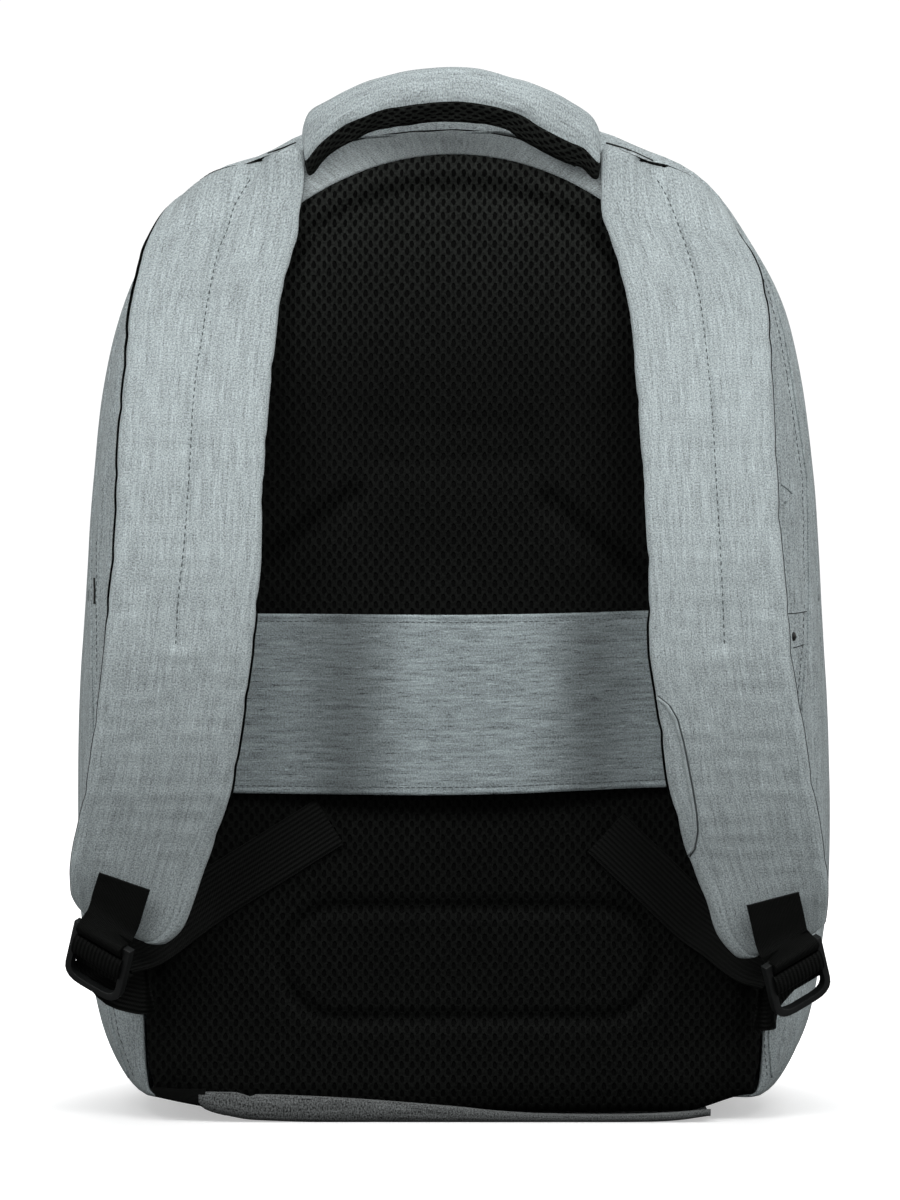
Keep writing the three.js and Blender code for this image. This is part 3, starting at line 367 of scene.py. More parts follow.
def fill_pad(piece, pressure, cap, sewn_share, slack, frames=20):
    """Fills a padded piece by cloth simulation. sewn_share(column, row) tells how firmly a place is sewn."""
    mesh = piece.data
    start = [vert.co.copy() for vert in mesh.vertices]
    sewn = piece.vertex_groups.new(name="sewn")
    for vert, c, r in remembered(piece):
        share = clamp(sewn_share(c, r))
        if share > 0:
            sewn.add([vert.index], share, "REPLACE")
    modifier = piece.modifiers.new("filling", "CLOTH")
    cloth = modifier.settings
    cloth.quality = 6
    cloth.mass = 0.2
    cloth.tension_stiffness = cloth.compression_stiffness = 12
    cloth.shear_stiffness = 6
    cloth.bending_stiffness = 0.4
    cloth.shrink_min = cloth.shrink_max = -slack
    cloth.use_pressure = True
    cloth.uniform_pressure_force = pressure
    cloth.effector_weights.gravity = 0
    cloth.vertex_group_mass = "sewn"
    cloth.pin_stiffness = 5.0
    modifier.collision_settings.use_collision = False
    modifier.point_cache.frame_start = 1
    modifier.point_cache.frame_end = frames
    scene = bpy.context.scene
    for number in range(1, frames + 1):
        scene.frame_set(number)
    graph = bpy.context.evaluated_depsgraph_get()
    filled = [vert.co.copy() for vert in piece.evaluated_get(graph).data.vertices]
    piece.modifiers.remove(modifier)
    piece.vertex_groups.clear()
    for vert, before, after in zip(mesh.vertices, start, filled):
        move = after - before
        if move.length > cap:
            move *= cap / move.length
        vert.co = before + move
    scene.frame_set(1)
    mesh.update()


def split_by_material(piece, name, replaced):
    """Moves the faces with the second material into a piece of their own."""
    other = piece.copy()
    other.data = piece.data.copy()
    other.name = other.data.name = name
    bpy.context.scene.collection.objects.link(other)
    for target, kept in ((piece, 0), (other, 1)):
        bm = bmesh.new()
        bm.from_mesh(target.data)
        gone = [face for face in bm.faces if face.material_index != kept]
        bmesh.ops.delete(bm, geom=gone, context="FACES")
        for face in bm.faces:
            face.material_index = 0
        bm.to_mesh(target.data)
        bm.free()
        chosen = target.data.materials[kept]
        target.data.materials.clear()
        target.data.materials.append(chosen)
    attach(other, "root")
    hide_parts(*replaced)
    return other


def tube(name, spots, radius, material, replaced=(), sides=8):
    """A round cord through points in the frame."""
    rows = len(spots) - 1

    def point(c, r):
        along = (spots[min(rows, r + 1)] - spots[max(0, r - 1)]).normalized()
        side = along.cross(Vector((0.05, 1, 0.02))).normalized()
        turn = 2 * math.pi * c / sides
        return spots[r] + (side * math.cos(turn) + side.cross(along) * math.sin(turn)) * radius * MM

    bm = cloth_grid(sides, rows, point, ring=True, uv=lambda c, r: (c * radius * 0.8 * MM, r * 0.005))
    close_holes(bm)
    return finish_piece(name, bm, material, replaced)


def tree_of(piece):
    bm = bmesh.new()
    bm.from_mesh(piece.data)
    tree = BVHTree.FromBMesh(bm)
    bm.free()
    return tree


def seen_on(trees, x, z):
    """Where the sight line through x, z on the back plane meets the first of the surfaces."""
    eye = Vector((CAMERA_X * MM, BACK - CAMERA_DISTANCE * MM, CAMERA_Z * MM))
    run = (place(x, 0, z) - eye).normalized()
    hits = [tree.ray_cast(eye, run) for tree in trees]
    hits = [hit for hit in hits if hit[0] is not None]
    if not hits:
        return None
    spot, normal = min(hits, key=lambda hit: hit[3])[:2]
    return spot, normal if normal.dot(run) < 0 else -normal


def seen_path(trees, points, step=1.5):
    """Points and normals on the surfaces along a line that is seen through these x, z places."""
    path = []
    for (x0, z0), (x1, z1) in zip(points, points[1:]):
        count = max(1, round(math.hypot(x1 - x0, z1 - z0) / step))
        for part in range(count):
            hit = seen_on(trees, mix(x0, x1, part / count), mix(z0, z1, part / count))
            if hit:
                path.append(hit)
    return path


def stitches(name, path, material, pitch=3.4, length=2.4, radius=0.28, lift=0.0):
    """A row of thread stitches along a path of points and outward normals."""
    bm = bmesh.new()
    lengths = [0.0]
    for before, after in zip(path, path[1:]):
        lengths.append(lengths[-1] + (after[0] - before[0]).length)
    count = int(lengths[-1] / (pitch * MM))
    step = 0
    for number in range(count):
        middle = (number + 0.5) * lengths[-1] / count
        while step < len(path) - 2 and lengths[step + 1] < middle:
            step += 1
        share = (middle - lengths[step]) / max(1e-9, lengths[step + 1] - lengths[step])
        point = path[step][0].lerp(path[step + 1][0], share)
        normal = path[step][1].lerp(path[step + 1][1], share).normalized()
        along = (path[step + 1][0] - path[step][0]).normalized()
        side = along.cross(normal).normalized()
        turn = Matrix((along, side, side.cross(along))).transposed().to_4x4()
        size = Matrix.Diagonal((length * MM / 2, radius * MM, radius * MM, 1.0))
        where = Matrix.Translation(point + normal * lift * MM)
        bmesh.ops.create_uvsphere(bm, u_segments=6, v_segments=4, radius=1.0, matrix=where @ turn @ size)
    return finish_piece(name, bm, material)


def seen_mm(*pixels):
    """Places on the back plane in millimetres from places in the 900 x 1200 frame."""
    return [((x - PIXEL_X) * PIXEL_SIZE, (PIXEL_Y - y) * PIXEL_SIZE) for x, y in pixels]


# Materials


def new_group(name, inputs, outputs):
    group = bpy.data.node_groups.new(name, "ShaderNodeTree")
    for socket, kind, value in inputs:
        made = group.interface.new_socket(name=socket, in_out="INPUT", socket_type=kind)
        if value is not None:
            made.default_value = value
    for socket, kind in outputs:
        group.interface.new_socket(name=socket, in_out="OUTPUT", socket_type=kind)
    return group, group.nodes.new("NodeGroupInput"), group.nodes.new("NodeGroupOutput")


def node(tree, kind, sockets=(), **settings):
    """A new node with its settings, and its sockets set or linked."""
    made = tree.nodes.new(kind)
    for key, value in settings.items():
        setattr(made, key, value)
    for key, value in dict(sockets).items():
        if isinstance(value, bpy.types.NodeSocket):
            tree.links.new(value, made.inputs[key])
        else:
            made.inputs[key].default_value = value
    return made


def maths(tree, operation, *values):
    return node(tree, "ShaderNodeMath", enumerate(values), operation=operation).outputs[0]


def scaled(tree, colour, factor):
    return node(tree, "ShaderNodeVectorMath", {0: colour, 3: factor}, operation="SCALE").outputs[0]


def step_up(tree, value, low, high):
    """0 below low, 1 above high, smooth between."""
    sockets = {0: value, 1: low, 2: high}
    return node(tree, "ShaderNodeMapRange", sockets, interpolation_type="SMOOTHSTEP").outputs[0]


def noise_at(tree, vector, scale, detail=2.0):
    return node(tree, "ShaderNodeTexNoise", {"Vector": vector, "Scale": scale, "Detail": detail}).outputs[0]


def heather_group():
    """Two-tone yarn: a speckled weave with thin light and dark threads along Y of the vector."""
    group, given, result = new_group(
        "heather yarn",
        (
            ("Vector", "NodeSocketVector", None),
            ("Cloth Color", "NodeSocketColor", (0.36, 0.41, 0.415, 1)),
            ("Contrast", "NodeSocketFloat", 0.3),
            ("Threads", "NodeSocketFloat", 0.3),
            ("Thread Length", "NodeSocketFloat", 0.009),
        ),
        (("Color", "NodeSocketColor"), ("Height", "NodeSocketFloat"), ("Roughness", "NodeSocketFloat")),
    )
    vector = given.outputs["Vector"]
    split = node(group, "ShaderNodeSeparateXYZ", {0: vector})
    across = maths(group, "DIVIDE", split.outputs[0], 0.0006)
    through = maths(group, "DIVIDE", split.outputs[2], 0.0006)
    along = maths(group, "DIVIDE", split.outputs[1], given.outputs["Thread Length"])
    stretched = node(group, "ShaderNodeCombineXYZ", {0: across, 1: along, 2: through}).outputs[0]
    thread = noise_at(group, stretched, 1.0, 2.0)
    wide_thread = noise_at(group, stretched, 0.35, 1.0)
    speck = noise_at(group, vector, 1250.0, 1.5)
    blotch = noise_at(group, vector, 30.0, 3.0)
    light = step_up(group, thread, 0.6, 0.74)
    dark = step_up(group, thread, 0.42, 0.28)
    threads = maths(group, "SUBTRACT", light, maths(group, "MULTIPLY", dark, 0.8))
    threads = maths(group, "ADD", threads, maths(group, "MULTIPLY_ADD", wide_thread, 1.6, -0.8))
    specks = maths(group, "MULTIPLY_ADD", speck, 5.0, -2.5)
    slow = maths(group, "MULTIPLY_ADD", blotch, 0.5, -0.25)
    slow = maths(group, "MULTIPLY", slow, 0.3)
    total = maths(group, "MULTIPLY_ADD", specks, given.outputs["Contrast"], slow)
    total = maths(group, "MULTIPLY_ADD", threads, given.outputs["Threads"], total)
    tone = scaled(group, given.outputs["Cloth Color"], maths(group, "ADD", total, 1.0))
    diagonal = maths(group, "ADD", split.outputs[0], split.outputs[2])
    warp = maths(group, "SINE", maths(group, "MULTIPLY", diagonal, 9500.0))
    weft = maths(group, "SINE", maths(group, "MULTIPLY", split.outputs[1], 9500.0))
    weave = maths(group, "MULTIPLY", warp, weft)
    height = maths(group, "MULTIPLY_ADD", weave, 0.4, maths(group, "MULTIPLY", specks, 0.4))
    group.links.new(tone, result.inputs["Color"])
    group.links.new(height, result.inputs["Height"])
    group.links.new(maths(group, "MULTIPLY_ADD", specks, 0.08, 0.72), result.inputs["Roughness"])
    return group


def air_mesh_group():
    """Knitted spacer mesh: offset rows of long holes between wavy ribs, over X and Y of the vector."""
    group, given, result = new_group(
        "air mesh holes",
        (
            ("Vector", "NodeSocketVector", None),
            ("Across", "NodeSocketFloat", 0.0049),
            ("Along", "NodeSocketFloat", 0.0067),
            ("Rib Color", "NodeSocketColor", (0.0115, 0.0128, 0.0115, 1)),
            ("Hole Color", "NodeSocketColor", (0.0006, 0.0007, 0.0006, 1)),
        ),
        (("Color", "NodeSocketColor"), ("Height", "NodeSocketFloat")),
    )
    vector = given.outputs["Vector"]
    wobble = node(group, "ShaderNodeTexNoise", {"Vector": vector, "Scale": 300.0, "Detail": 1.0})
    centred = {0: wobble.outputs["Color"], 1: (0.5, 0.5, 0.5)}
    bend = node(group, "ShaderNodeVectorMath", centred, operation="SUBTRACT").outputs[0]
    shifted = {0: bend, 1: (0.0011, 0.0011, 0.0), 2: vector}
    moved = node(group, "ShaderNodeVectorMath", shifted, operation="MULTIPLY_ADD").outputs[0]
    split = node(group, "ShaderNodeSeparateXYZ", {0: moved})
    across = maths(group, "DIVIDE", split.outputs[0], given.outputs["Across"])
    along = maths(group, "DIVIDE", split.outputs[1], given.outputs["Along"])
    holes = []
    for shift in (0.0, 0.5):
        x = maths(group, "FRACT", maths(group, "ADD", across, shift))
        y = maths(group, "FRACT", maths(group, "ADD", along, shift))
        dx = maths(group, "MULTIPLY_ADD", x, 1.3, -0.65)
        dy = maths(group, "MULTIPLY_ADD", y, 0.95, -0.475)
        squares = maths(group, "MULTIPLY_ADD", dx, dx, maths(group, "MULTIPLY", dy, dy))
        holes.append(maths(group, "SQRT", squares))
    near = maths(group, "MINIMUM", holes[0], holes[1])
    rib = step_up(group, near, 0.19, 0.3)
    knit = noise_at(group, vector, 900.0)
    worn = noise_at(group, vector, 14.0, 3.0)
    light = maths(group, "MULTIPLY_ADD", knit, 2.4, -0.2)
    light = maths(group, "MULTIPLY", light, maths(group, "MULTIPLY_ADD", worn, 0.6, 0.7))
    lit = scaled(group, given.outputs["Rib Color"], light)
    sockets = {0: rib, 6: given.outputs["Hole Color"], 7: lit}
    colour = node(group, "ShaderNodeMix", sockets, data_type="RGBA").outputs[2]
    group.links.new(colour, result.inputs["Color"])
    group.links.new(maths(group, "MULTIPLY_ADD", knit, 0.25, rib), result.inputs["Height"])
    return group


def webbing_group():
    """Ribbed webbing: ribs along Y of the vector with small slanting bars."""
    group, given, result = new_group(
        "webbing ribs",
        (
            ("Vector", "NodeSocketVector", None),
            ("Rib Pitch", "NodeSocketFloat", 0.0021),
            ("Yarn Color", "NodeSocketColor", (0.0042, 0.0046, 0.0042, 1)),
        ),
        (("Color", "NodeSocketColor"), ("Height", "NodeSocketFloat")),
    )
    split = node(group, "ShaderNodeSeparateXYZ", {0: given.outputs["Vector"]})
    turn = maths(group, "DIVIDE", split.outputs[0], given.outputs["Rib Pitch"])
    wave = maths(group, "COSINE", maths(group, "MULTIPLY", turn, 6.2832))
    ribs = maths(group, "MULTIPLY_ADD", wave, 0.5, 0.5)
    slant = maths(group, "MULTIPLY_ADD", split.outputs[0], 0.4, split.outputs[1])
    bars = maths(group, "SINE", maths(group, "MULTIPLY", slant, 7000.0))
    grain = noise_at(group, given.outputs["Vector"], 700.0)
    light = maths(group, "MULTIPLY_ADD", ribs, 0.7, maths(group, "MULTIPLY_ADD", grain, 0.9, 0.25))
    group.links.new(scaled(group, given.outputs["Yarn Color"], light), result.inputs["Color"])
    group.links.new(maths(group, "MULTIPLY_ADD", bars, 0.15, ribs), result.inputs["Height"])
    return group


HEATHER, AIR_MESH, WEBBING = heather_group(), air_mesh_group(), webbing_group()


def new_material(name, roughness=0.8, specular=0.3, sheen=0.0):
    material = bpy.data.materials.new(name)
    material.use_nodes = True
    shader = material.node_tree.nodes["Principled BSDF"]
    shader.inputs["Roughness"].default_value = roughness
    shader.inputs["Specular IOR Level"].default_value = specular
    shader.inputs["Sheen Weight"].default_value = sheen
    return material, material.node_tree, shader


def dress(tree, shader, pattern, strength, distance):
    """Links a pattern's color and height to the shader."""
    sockets = {"Height": pattern.outputs["Height"], "Strength": strength, "Distance": distance}
    bump = node(tree, "ShaderNodeBump", sockets)
    tree.links.new(pattern.outputs["Color"], shader.inputs["Base Color"])
    tree.links.new(bump.outputs[0], shader.inputs["Normal"])


def cloth_vector(tree, follows_cloth, sideways=False):
    """UV in metres, or object coordinates with height as Y. Sideways turns the threads level."""
    source = node(tree, "ShaderNodeTexCoord")
    if follows_cloth:
        turn = (0.0, 0.0, math.pi / 2 if sideways else 0.0)
        return node(tree, "ShaderNodeMapping", {0: source.outputs["UV"], 2: turn}).outputs[0]
    split = node(tree, "ShaderNodeSeparateXYZ", {0: source.outputs["Object"]})
    order = (2, 0, 1) if sideways else (0, 2, 1)
    sockets = {i: split.outputs[part] for i, part in enumerate(order)}
    return node(tree, "ShaderNodeCombineXYZ", sockets).outputs[0]


def heather_material(
    name, colour, follows_cloth=False, sideways=False, contrast=0.4, threads=0.42, length=0.009
):
    material, tree, shader = new_material(name, specular=0.25, sheen=0.08)
    sockets = {
        "Vector": cloth_vector(tree, follows_cloth, sideways),
        "Cloth Color": colour,
        "Contrast": contrast,
        "Threads": threads,
        "Thread Length": length,
    }
    yarn = node(tree, "ShaderNodeGroup", (), node_tree=HEATHER)
    for key, value in sockets.items():
        if key == "Vector":
            tree.links.new(value, yarn.inputs[key])
        else:
            yarn.inputs[key].default_value = value
    dress(tree, shader, yarn, 0.35, 0.0003)
    tree.links.new(yarn.outputs["Roughness"], shader.inputs["Roughness"])
    return material, tree, shader, yarn


def mesh_material(name, follows_cloth, across=0.0049, along=0.0067):
    """Black spacer mesh. On the panel the ribs are painted lighter towards the rolled top, as painted light
    from above.
    """
    material, tree, shader = new_material(name, 0.75, 0.05)
    holes = node(tree, "ShaderNodeGroup", (), node_tree=AIR_MESH)
    tree.links.new(cloth_vector(tree, follows_cloth), holes.inputs["Vector"])
    holes.inputs["Across"].default_value = across
    holes.inputs["Along"].default_value = along
    if not follows_cloth:
        spot = node(tree, "ShaderNodeTexCoord").outputs["Object"]
        level = node(tree, "ShaderNodeSeparateXYZ", {0: spot}).outputs[2]
        # Painted light: the ribs grow lighter with height towards the rolled top.
        pale = maths(tree, "MULTIPLY_ADD", step_up(tree, level, 0.34, 0.45), 0.72, 0.4)
        tree.links.new(scaled(tree, (0.0125, 0.0138, 0.0125), pale), holes.inputs["Rib Color"])
        holes.inputs["Hole Color"].default_value = (0.0012, 0.0013, 0.0012, 1)
    dress(tree, shader, holes, 1.0, 0.0009)
    return material


def webbing_material(name, pitch=0.0021):
    material, tree, shader = new_material(name, 0.6, 0.06)
    ribs = node(tree, "ShaderNodeGroup", (), node_tree=WEBBING)
    tree.links.new(cloth_vector(tree, True), ribs.inputs["Vector"])
    ribs.inputs["Rib Pitch"].default_value = pitch
    dress(tree, shader, ribs, 0.8, 0.0004)
    return material


def plain_material(name, colour, roughness, scale, specular=0.4):
    """Plastic or thread: mottled, with a fine grain."""
    material, tree, shader = new_material(name, roughness, specular)
    spot = node(tree, "ShaderNodeTexCoord").outputs["Object"]
    marks = noise_at(tree, spot, scale)
    sockets = {"Height": noise_at(tree, spot, scale * 10), "Strength": 0.25, "Distance": 0.0002}
    bump = node(tree, "ShaderNodeBump", sockets)
    mottled = scaled(tree, colour, maths(tree, "MULTIPLY_ADD", marks, 0.9, 0.55))
    tree.links.new(mottled, shader.inputs["Base Color"])
    tree.links.new(maths(tree, "MULTIPLY_ADD", marks, 0.2, roughness - 0.1), shader.inputs["Roughness"])
    tree.links.new(bump.outputs[0], shader.inputs["Normal"])
    return material


GREY = (0.335, 0.38, 0.388, 1)
body_cloth = heather_material("grey heather cloth", GREY)[0]
strap_cloth = heather_material("grey heather strap cloth", GREY, True)[0]
handle_cloth = heather_material("grey heather handle cloth", GREY, True)[0]
# The base's grey cloth is darkened well below the body's as painted shade of the base turned down from the
# light.
base_cloth_in_painted_shade = heather_material("grey heather base cloth in painted shade", (0.1, 0.106, 0.106, 1), True, True, 0.9, 0.7)[0]
panel_mesh = mesh_material("black air mesh with painted top light", False)
lining_mesh = mesh_material("black lining mesh", True, 0.0042, 0.0058)
black_webbing = webbing_material("black ribbed webbing")
zip_webbing = webbing_material("black zip tape", 0.0012)
tab_webbing = webbing_material("black tab tape", 0.0007)
buckle_plastic = plain_material("dark moulded plastic", (0.01, 0.011, 0.011), 0.4, 90.0)
shadow_thread = plain_material("dark grey thread", (0.07, 0.08, 0.082), 0.7, 1500.0, 0.2)
black_thread = plain_material("black thread", (0.012, 0.013, 0.012), 0.7, 1500.0, 0.2)


def painted_shade_cloth(name, colour, zones, *look):
    """Heather cloth with painted shade: darker in upright zones of (middle, half width, depth)."""
    material, tree, shader, yarn = heather_material(name, colour, True, *look)
    spot = node(tree, "ShaderNodeTexCoord").outputs["Object"]
    x = node(tree, "ShaderNodeSeparateXYZ", {0: spot}).outputs[0]
    total = 0.0
    for middle, width, depth in zones:
        off = maths(tree, "ABSOLUTE", maths(tree, "SUBTRACT", x, middle))
        total = maths(tree, "MULTIPLY_ADD", step_up(tree, off, width, 0.0), depth, total)
    shade = maths(tree, "SUBTRACT", 1.0, total)
    tree.links.new(scaled(tree, yarn.outputs["Color"], shade), shader.inputs["Base Color"])
    return material


# The band's two darker upright zones are painted shade, where the satin turns away from the light.
BAND_PAINTED_SHADES = ((-0.051, 0.036, 0.58), (0.064, 0.034, 0.52))
band_cloth = painted_shade_cloth(
    "grey satin band cloth with painted shade", (0.27, 0.315, 0.325, 1), BAND_PAINTED_SHADES, True, 0.34, 0.7, 0.007
)
# The yoke's grey is painted lighter than the body's cloth, as painted light, and its middle under the handle
# darker, as the handle's painted shadow.
yoke_cloth = painted_shade_cloth("grey heather yoke cloth with painted light and shadow", (0.5, 0.56, 0.57, 1), ((-0.005, 0.07, 0.4),))


# Body of the bag


def body_depth(height):
    return BODY_DEPTH * column(SIDE_VIEW, "height", height, "depth")


def body_point(side, rise, depth):
    """A place on the bag's outside: side -1 or 1, rise 0 to 1 up the outline, depth 0 rear to 1 front."""
    belly = column(SECTIONS, "depth", depth, "belly")
    width = mix(column(OUTLINE, "height", rise, "rear"), column(OUTLINE, "height", rise, "belly"), belly)
    width *= column(SECTIONS, "depth", depth, "side")
    top = (column(SECTIONS, "depth", depth, "top") - FRONT_CENTRE) / (1 - FRONT_CENTRE)
    low = 1 - column(SECTIONS, "depth", depth, "lift") / FRONT_CENTRE
    height = FRONT_CENTRE + (rise - FRONT_CENTRE) * (top if rise > FRONT_CENTRE else low)
    x = side * HALF_WIDTH * width
    # The top sags a little beside the handle, more on the left.
    sag = (5.5 if side < 0 else 3.0) * math.exp(-(((abs(x) - 92) / 17) ** 2)) * smooth((rise - 0.8) / 0.1)
    # The lower corners are drawn up a little, and the upper ones in, more on the right.
    drawn = 8.5 * math.exp(-(((abs(x) - 130) / 13) ** 2)) * smooth((0.09 - height) / 0.06)
    x -= side * (4.5 if side > 0 else 2.0) * math.exp(-(((height - 0.895) / 0.05) ** 2))
    z = BODY_FLOOR + BODY_HEIGHT * height - sag + drawn * smooth((0.8 - depth) / 0.3)
    return Vector((x, depth * body_depth(height), z))


def body_ring(count):
    """Stops once round the outline as (side, rise, share of the width), evenly spaced."""
    fine = [(0.0, 0.0, 0.0)]
    for step in range(401):
        rise = step / 400
        fine.append((rise, column(OUTLINE, "height", rise, "belly") * HALF_WIDTH, rise * BODY_HEIGHT))
    lengths = [0.0]
    for before, after in zip(fine, fine[1:]):
        lengths.append(lengths[-1] + math.hypot(after[1] - before[1], after[2] - before[2]))
    stops = []
    step = 0
    for number in range(count + 1):
        wanted = lengths[-1] * number / count
        while step < len(fine) - 2 and lengths[step + 1] < wanted:
            step += 1
        share = clamp((wanted - lengths[step]) / max(1e-9, lengths[step + 1] - lengths[step]))
        rise = mix(fine[step][0], fine[step + 1][0], share)
        stops.append((rise, share if step == 0 else 1.0))
    right = [(1, rise, flat) for rise, flat in stops]
    left = [(-1, rise, flat) for rise, flat in stops[-2:0:-1]]
    return right + left


RING = body_ring(84)
# Where the zip lies in the depth, and how far up the outline it begins.
ZIP_DEPTH, ZIP_END = 0.2, 0.5
# Half the gap in millimetres at the plain seam and at the zip, and what the zip opens beside the handle.
SEAM_GAP, ZIP_GAP, ZIP_OPENED = 0.12, 0.55, 0.9
REAR_SEAM, PIPING_DEPTH, FRONT_SEAM = 0.1, 0.46, 0.79


def shell_point(number, depth):
    side, rise, flat = RING[number % len(RING)]
    point = body_point(side, rise, depth)
    point.x *= flat
    return point


def shell_normal(number, depth):
    """Outward direction of the body's surface."""
    ahead = shell_point(number + 1, depth) - shell_point(number - 1, depth)
    deeper = shell_point(number, min(LAST_DEPTH, depth + 0.01)) - shell_point(number, max(0.0, depth - 0.01))
    normal = deeper.cross(ahead)
    return normal.normalized() if normal.length > 1e-9 else Vector((0, 1, 0))


def to_frame(point):
    return Vector((point.x * MM, BACK + point.y * MM, point.z * MM))


def seam_depth(number, direction):
    """Depth of the edge of the cloth beside the zip, or beside the plain seam lower down."""
    rise = RING[number % len(RING)][1]
    point = shell_point(number, ZIP_DEPTH)
    opened = math.exp(-(((abs(point.x) - 82) / 13) ** 2)) * (rise > 0.8)
    gap = mix(SEAM_GAP, ZIP_GAP + ZIP_OPENED * opened, smooth((rise - ZIP_END) / 0.02))
    return ZIP_DEPTH + direction * gap / body_depth(rise)


def cloth_point(number, depth):
    """A place on the outside of the bag's cloth with its soft folds and its seams."""
    point = shell_point(number, depth)
    x, y, z = point
    waves = 1.5 * ripple(Vector((x * 0.5, y * 1.5, z * 0.5)) * MM, 0.045, 3.0)
    waves += 0.6 * ripple(Vector((x, y * 1.3, z)) * MM, 0.018, 8.0)
    sag = 0.5 + smooth((180 - z) / 120)
    places = (REAR_SEAM, PIPING_DEPTH, FRONT_SEAM)
    seams = sum(math.exp(-(((depth - one) * BODY_DEPTH / 2.2) ** 2)) for one in places)
    out = waves * sag * smooth(abs(depth - ZIP_DEPTH) / 0.12) * smooth(depth / 0.05) * smooth((z - 6) / 20)
    return to_frame(point + shell_normal(number, depth) * (out - 1.1 * seams * smooth((z - 4) / 6)))


def make_body():
    count, rows, rear_rows = len(RING), 64, 14

    def front_depth(c, r):
        return mix(seam_depth(c, 1), LAST_DEPTH, (r / rows) ** 0.92)

    def rear_depth(c, r):
        return seam_depth(c, -1) * r / rear_rows

    bm = cloth_grid(
        count, rows, lambda c, r: cloth_point(c, front_depth(c, r)), ring=True,
        uv=lambda c, r: (c / count * 1.5, r / rows * 0.18),
    )
    crown = [edge for edge in bm.edges if edge.is_boundary and edge.verts[0].co.y > BACK + 0.09]
    bmesh.ops.holes_fill(bm, edges=crown, sides=0)
    bmesh.ops.recalc_face_normals(bm, faces=bm.faces)
    shell = finish_piece("bag_cloth", bm, body_cloth, ("front_shell",))
    bm = cloth_grid(
        count, rear_rows, lambda c, r: cloth_point(c, rear_depth(c, r)), ring=True,
        uv=lambda c, r: (c / count * 1.5, r / rear_rows * 0.035),
    )
    bmesh.ops.recalc_face_normals(bm, faces=bm.faces)
    gusset = finish_piece("rear_side_cloth", bm, body_cloth, ("rear_gusset",))
    for piece in (shell, gusset):
        add_wall(piece, 0.0016)
        add_subdivision(piece)
    return tree_of(shell), tree_of(gusset)


def make_main_zip():
    """The hidden zip and the rolled cloth edges that cover it."""
    upper = [i for i, stop in enumerate(RING) if stop[1] >= ZIP_END]
    first, last = upper[0], upper[-1]

    def tape_point(c, r):
        depth = mix(ZIP_DEPTH - 0.02, ZIP_DEPTH + 0.02, r / 4)
        return to_frame(shell_point(first + c, depth) - shell_normal(first + c, depth) * 2.4)

    tape = cloth_grid(last - first, 4, tape_point, uv=lambda c, r: (r / 4 * 0.007, c * 0.009))
    bmesh.ops.recalc_face_normals(tape, faces=tape.faces)
    piece = finish_piece("main_zip_tape", tape, zip_webbing, ("main_zip",))
    add_wall(piece, 0.0006)
    teeth = bmesh.new()
    for number in range(first, last):
        out = shell_normal(number, ZIP_DEPTH)
        start = to_frame(shell_point(number, ZIP_DEPTH) - out * 1.9)
        end = to_frame(shell_point(number + 1, ZIP_DEPTH) - shell_normal(number + 1, ZIP_DEPTH) * 1.9)
        run = (end - start).normalized()
        across = run.cross(out).normalized()
        turn = Matrix((run, across, out)).transposed().to_4x4()
        turn = turn @ Matrix.Diagonal((0.0009, 0.0028, 0.001, 1.0))
        for part in range(6):
            where = Matrix.Translation(start.lerp(end, part / 6))
            bmesh.ops.create_cube(teeth, size=1.0, matrix=where @ turn)
    finish_piece("main_zip_teeth", teeth, buckle_plastic, smooth_faces=False)
    for name, direction in (("rear", -1), ("front", 1)):
        spots = []
        for number in range(first, last + 1):
            depth = seam_depth(number, direction) + direction * 0.004
            spots.append(to_frame(shell_point(number, depth) - shell_normal(number, depth) * 0.5))
        tube(f"main_zip_edge_{name}", spots, 0.9, body_cloth)


# Back panel

# The arch of the mesh panel, with its heights as shares, and the height where the yoke ends.
ARCH_HALF_WIDTH = 150.0
ARCH_TOP_SHARE, ARCH_CENTRE_SHARE, YOKE_END_SHARE = 0.96, 0.565, 0.76
ARCH_TOP = BODY_FLOOR + BODY_HEIGHT * ARCH_TOP_SHARE
ARCH_CENTRE = BODY_FLOOR + BODY_HEIGHT * ARCH_CENTRE_SHARE


def rear_half_width(z):
    share = (z - BODY_FLOOR) / BODY_HEIGHT
    if share > FRONT_CENTRE:
        share = FRONT_CENTRE + (share - FRONT_CENTRE) * (1 - FRONT_CENTRE) / (REAR_TOP - FRONT_CENTRE)
    return HALF_WIDTH * column(OUTLINE, "height", clamp(share), "rear")


def panel_half_width(z):
    rear = rear_half_width(z) - 1.5
    rise = clamp((z - ARCH_CENTRE) / (ARCH_TOP - ARCH_CENTRE))
    return min(rear, ARCH_HALF_WIDTH * math.sqrt(1 - rise * rise))


def panel_low(x):
    return 4.7 + 8.0 * smooth((abs(x) - 108) / 34)


def panel_edge_distance(x, z):
    sideways = panel_half_width(z) - abs(x)
    near = min(sideways, z - panel_low(x))
    if z <= ARCH_CENTRE:
        return near
    reach = math.hypot(x / ARCH_HALF_WIDTH, (z - ARCH_CENTRE) / (ARCH_TOP - ARCH_CENTRE))
    return min(near, (1 - reach) * ARCH_HALF_WIDTH)


def valley(distance, width, depth):
    return depth * math.exp(-((distance / (0.6 * width)) ** 2))


def to_segment(x, z, start, end):
    run = Vector(end) - Vector(start)
    offset = Vector((x, z)) - Vector(start)
    return (offset - run * clamp(offset.dot(run) / run.length_squared)).length


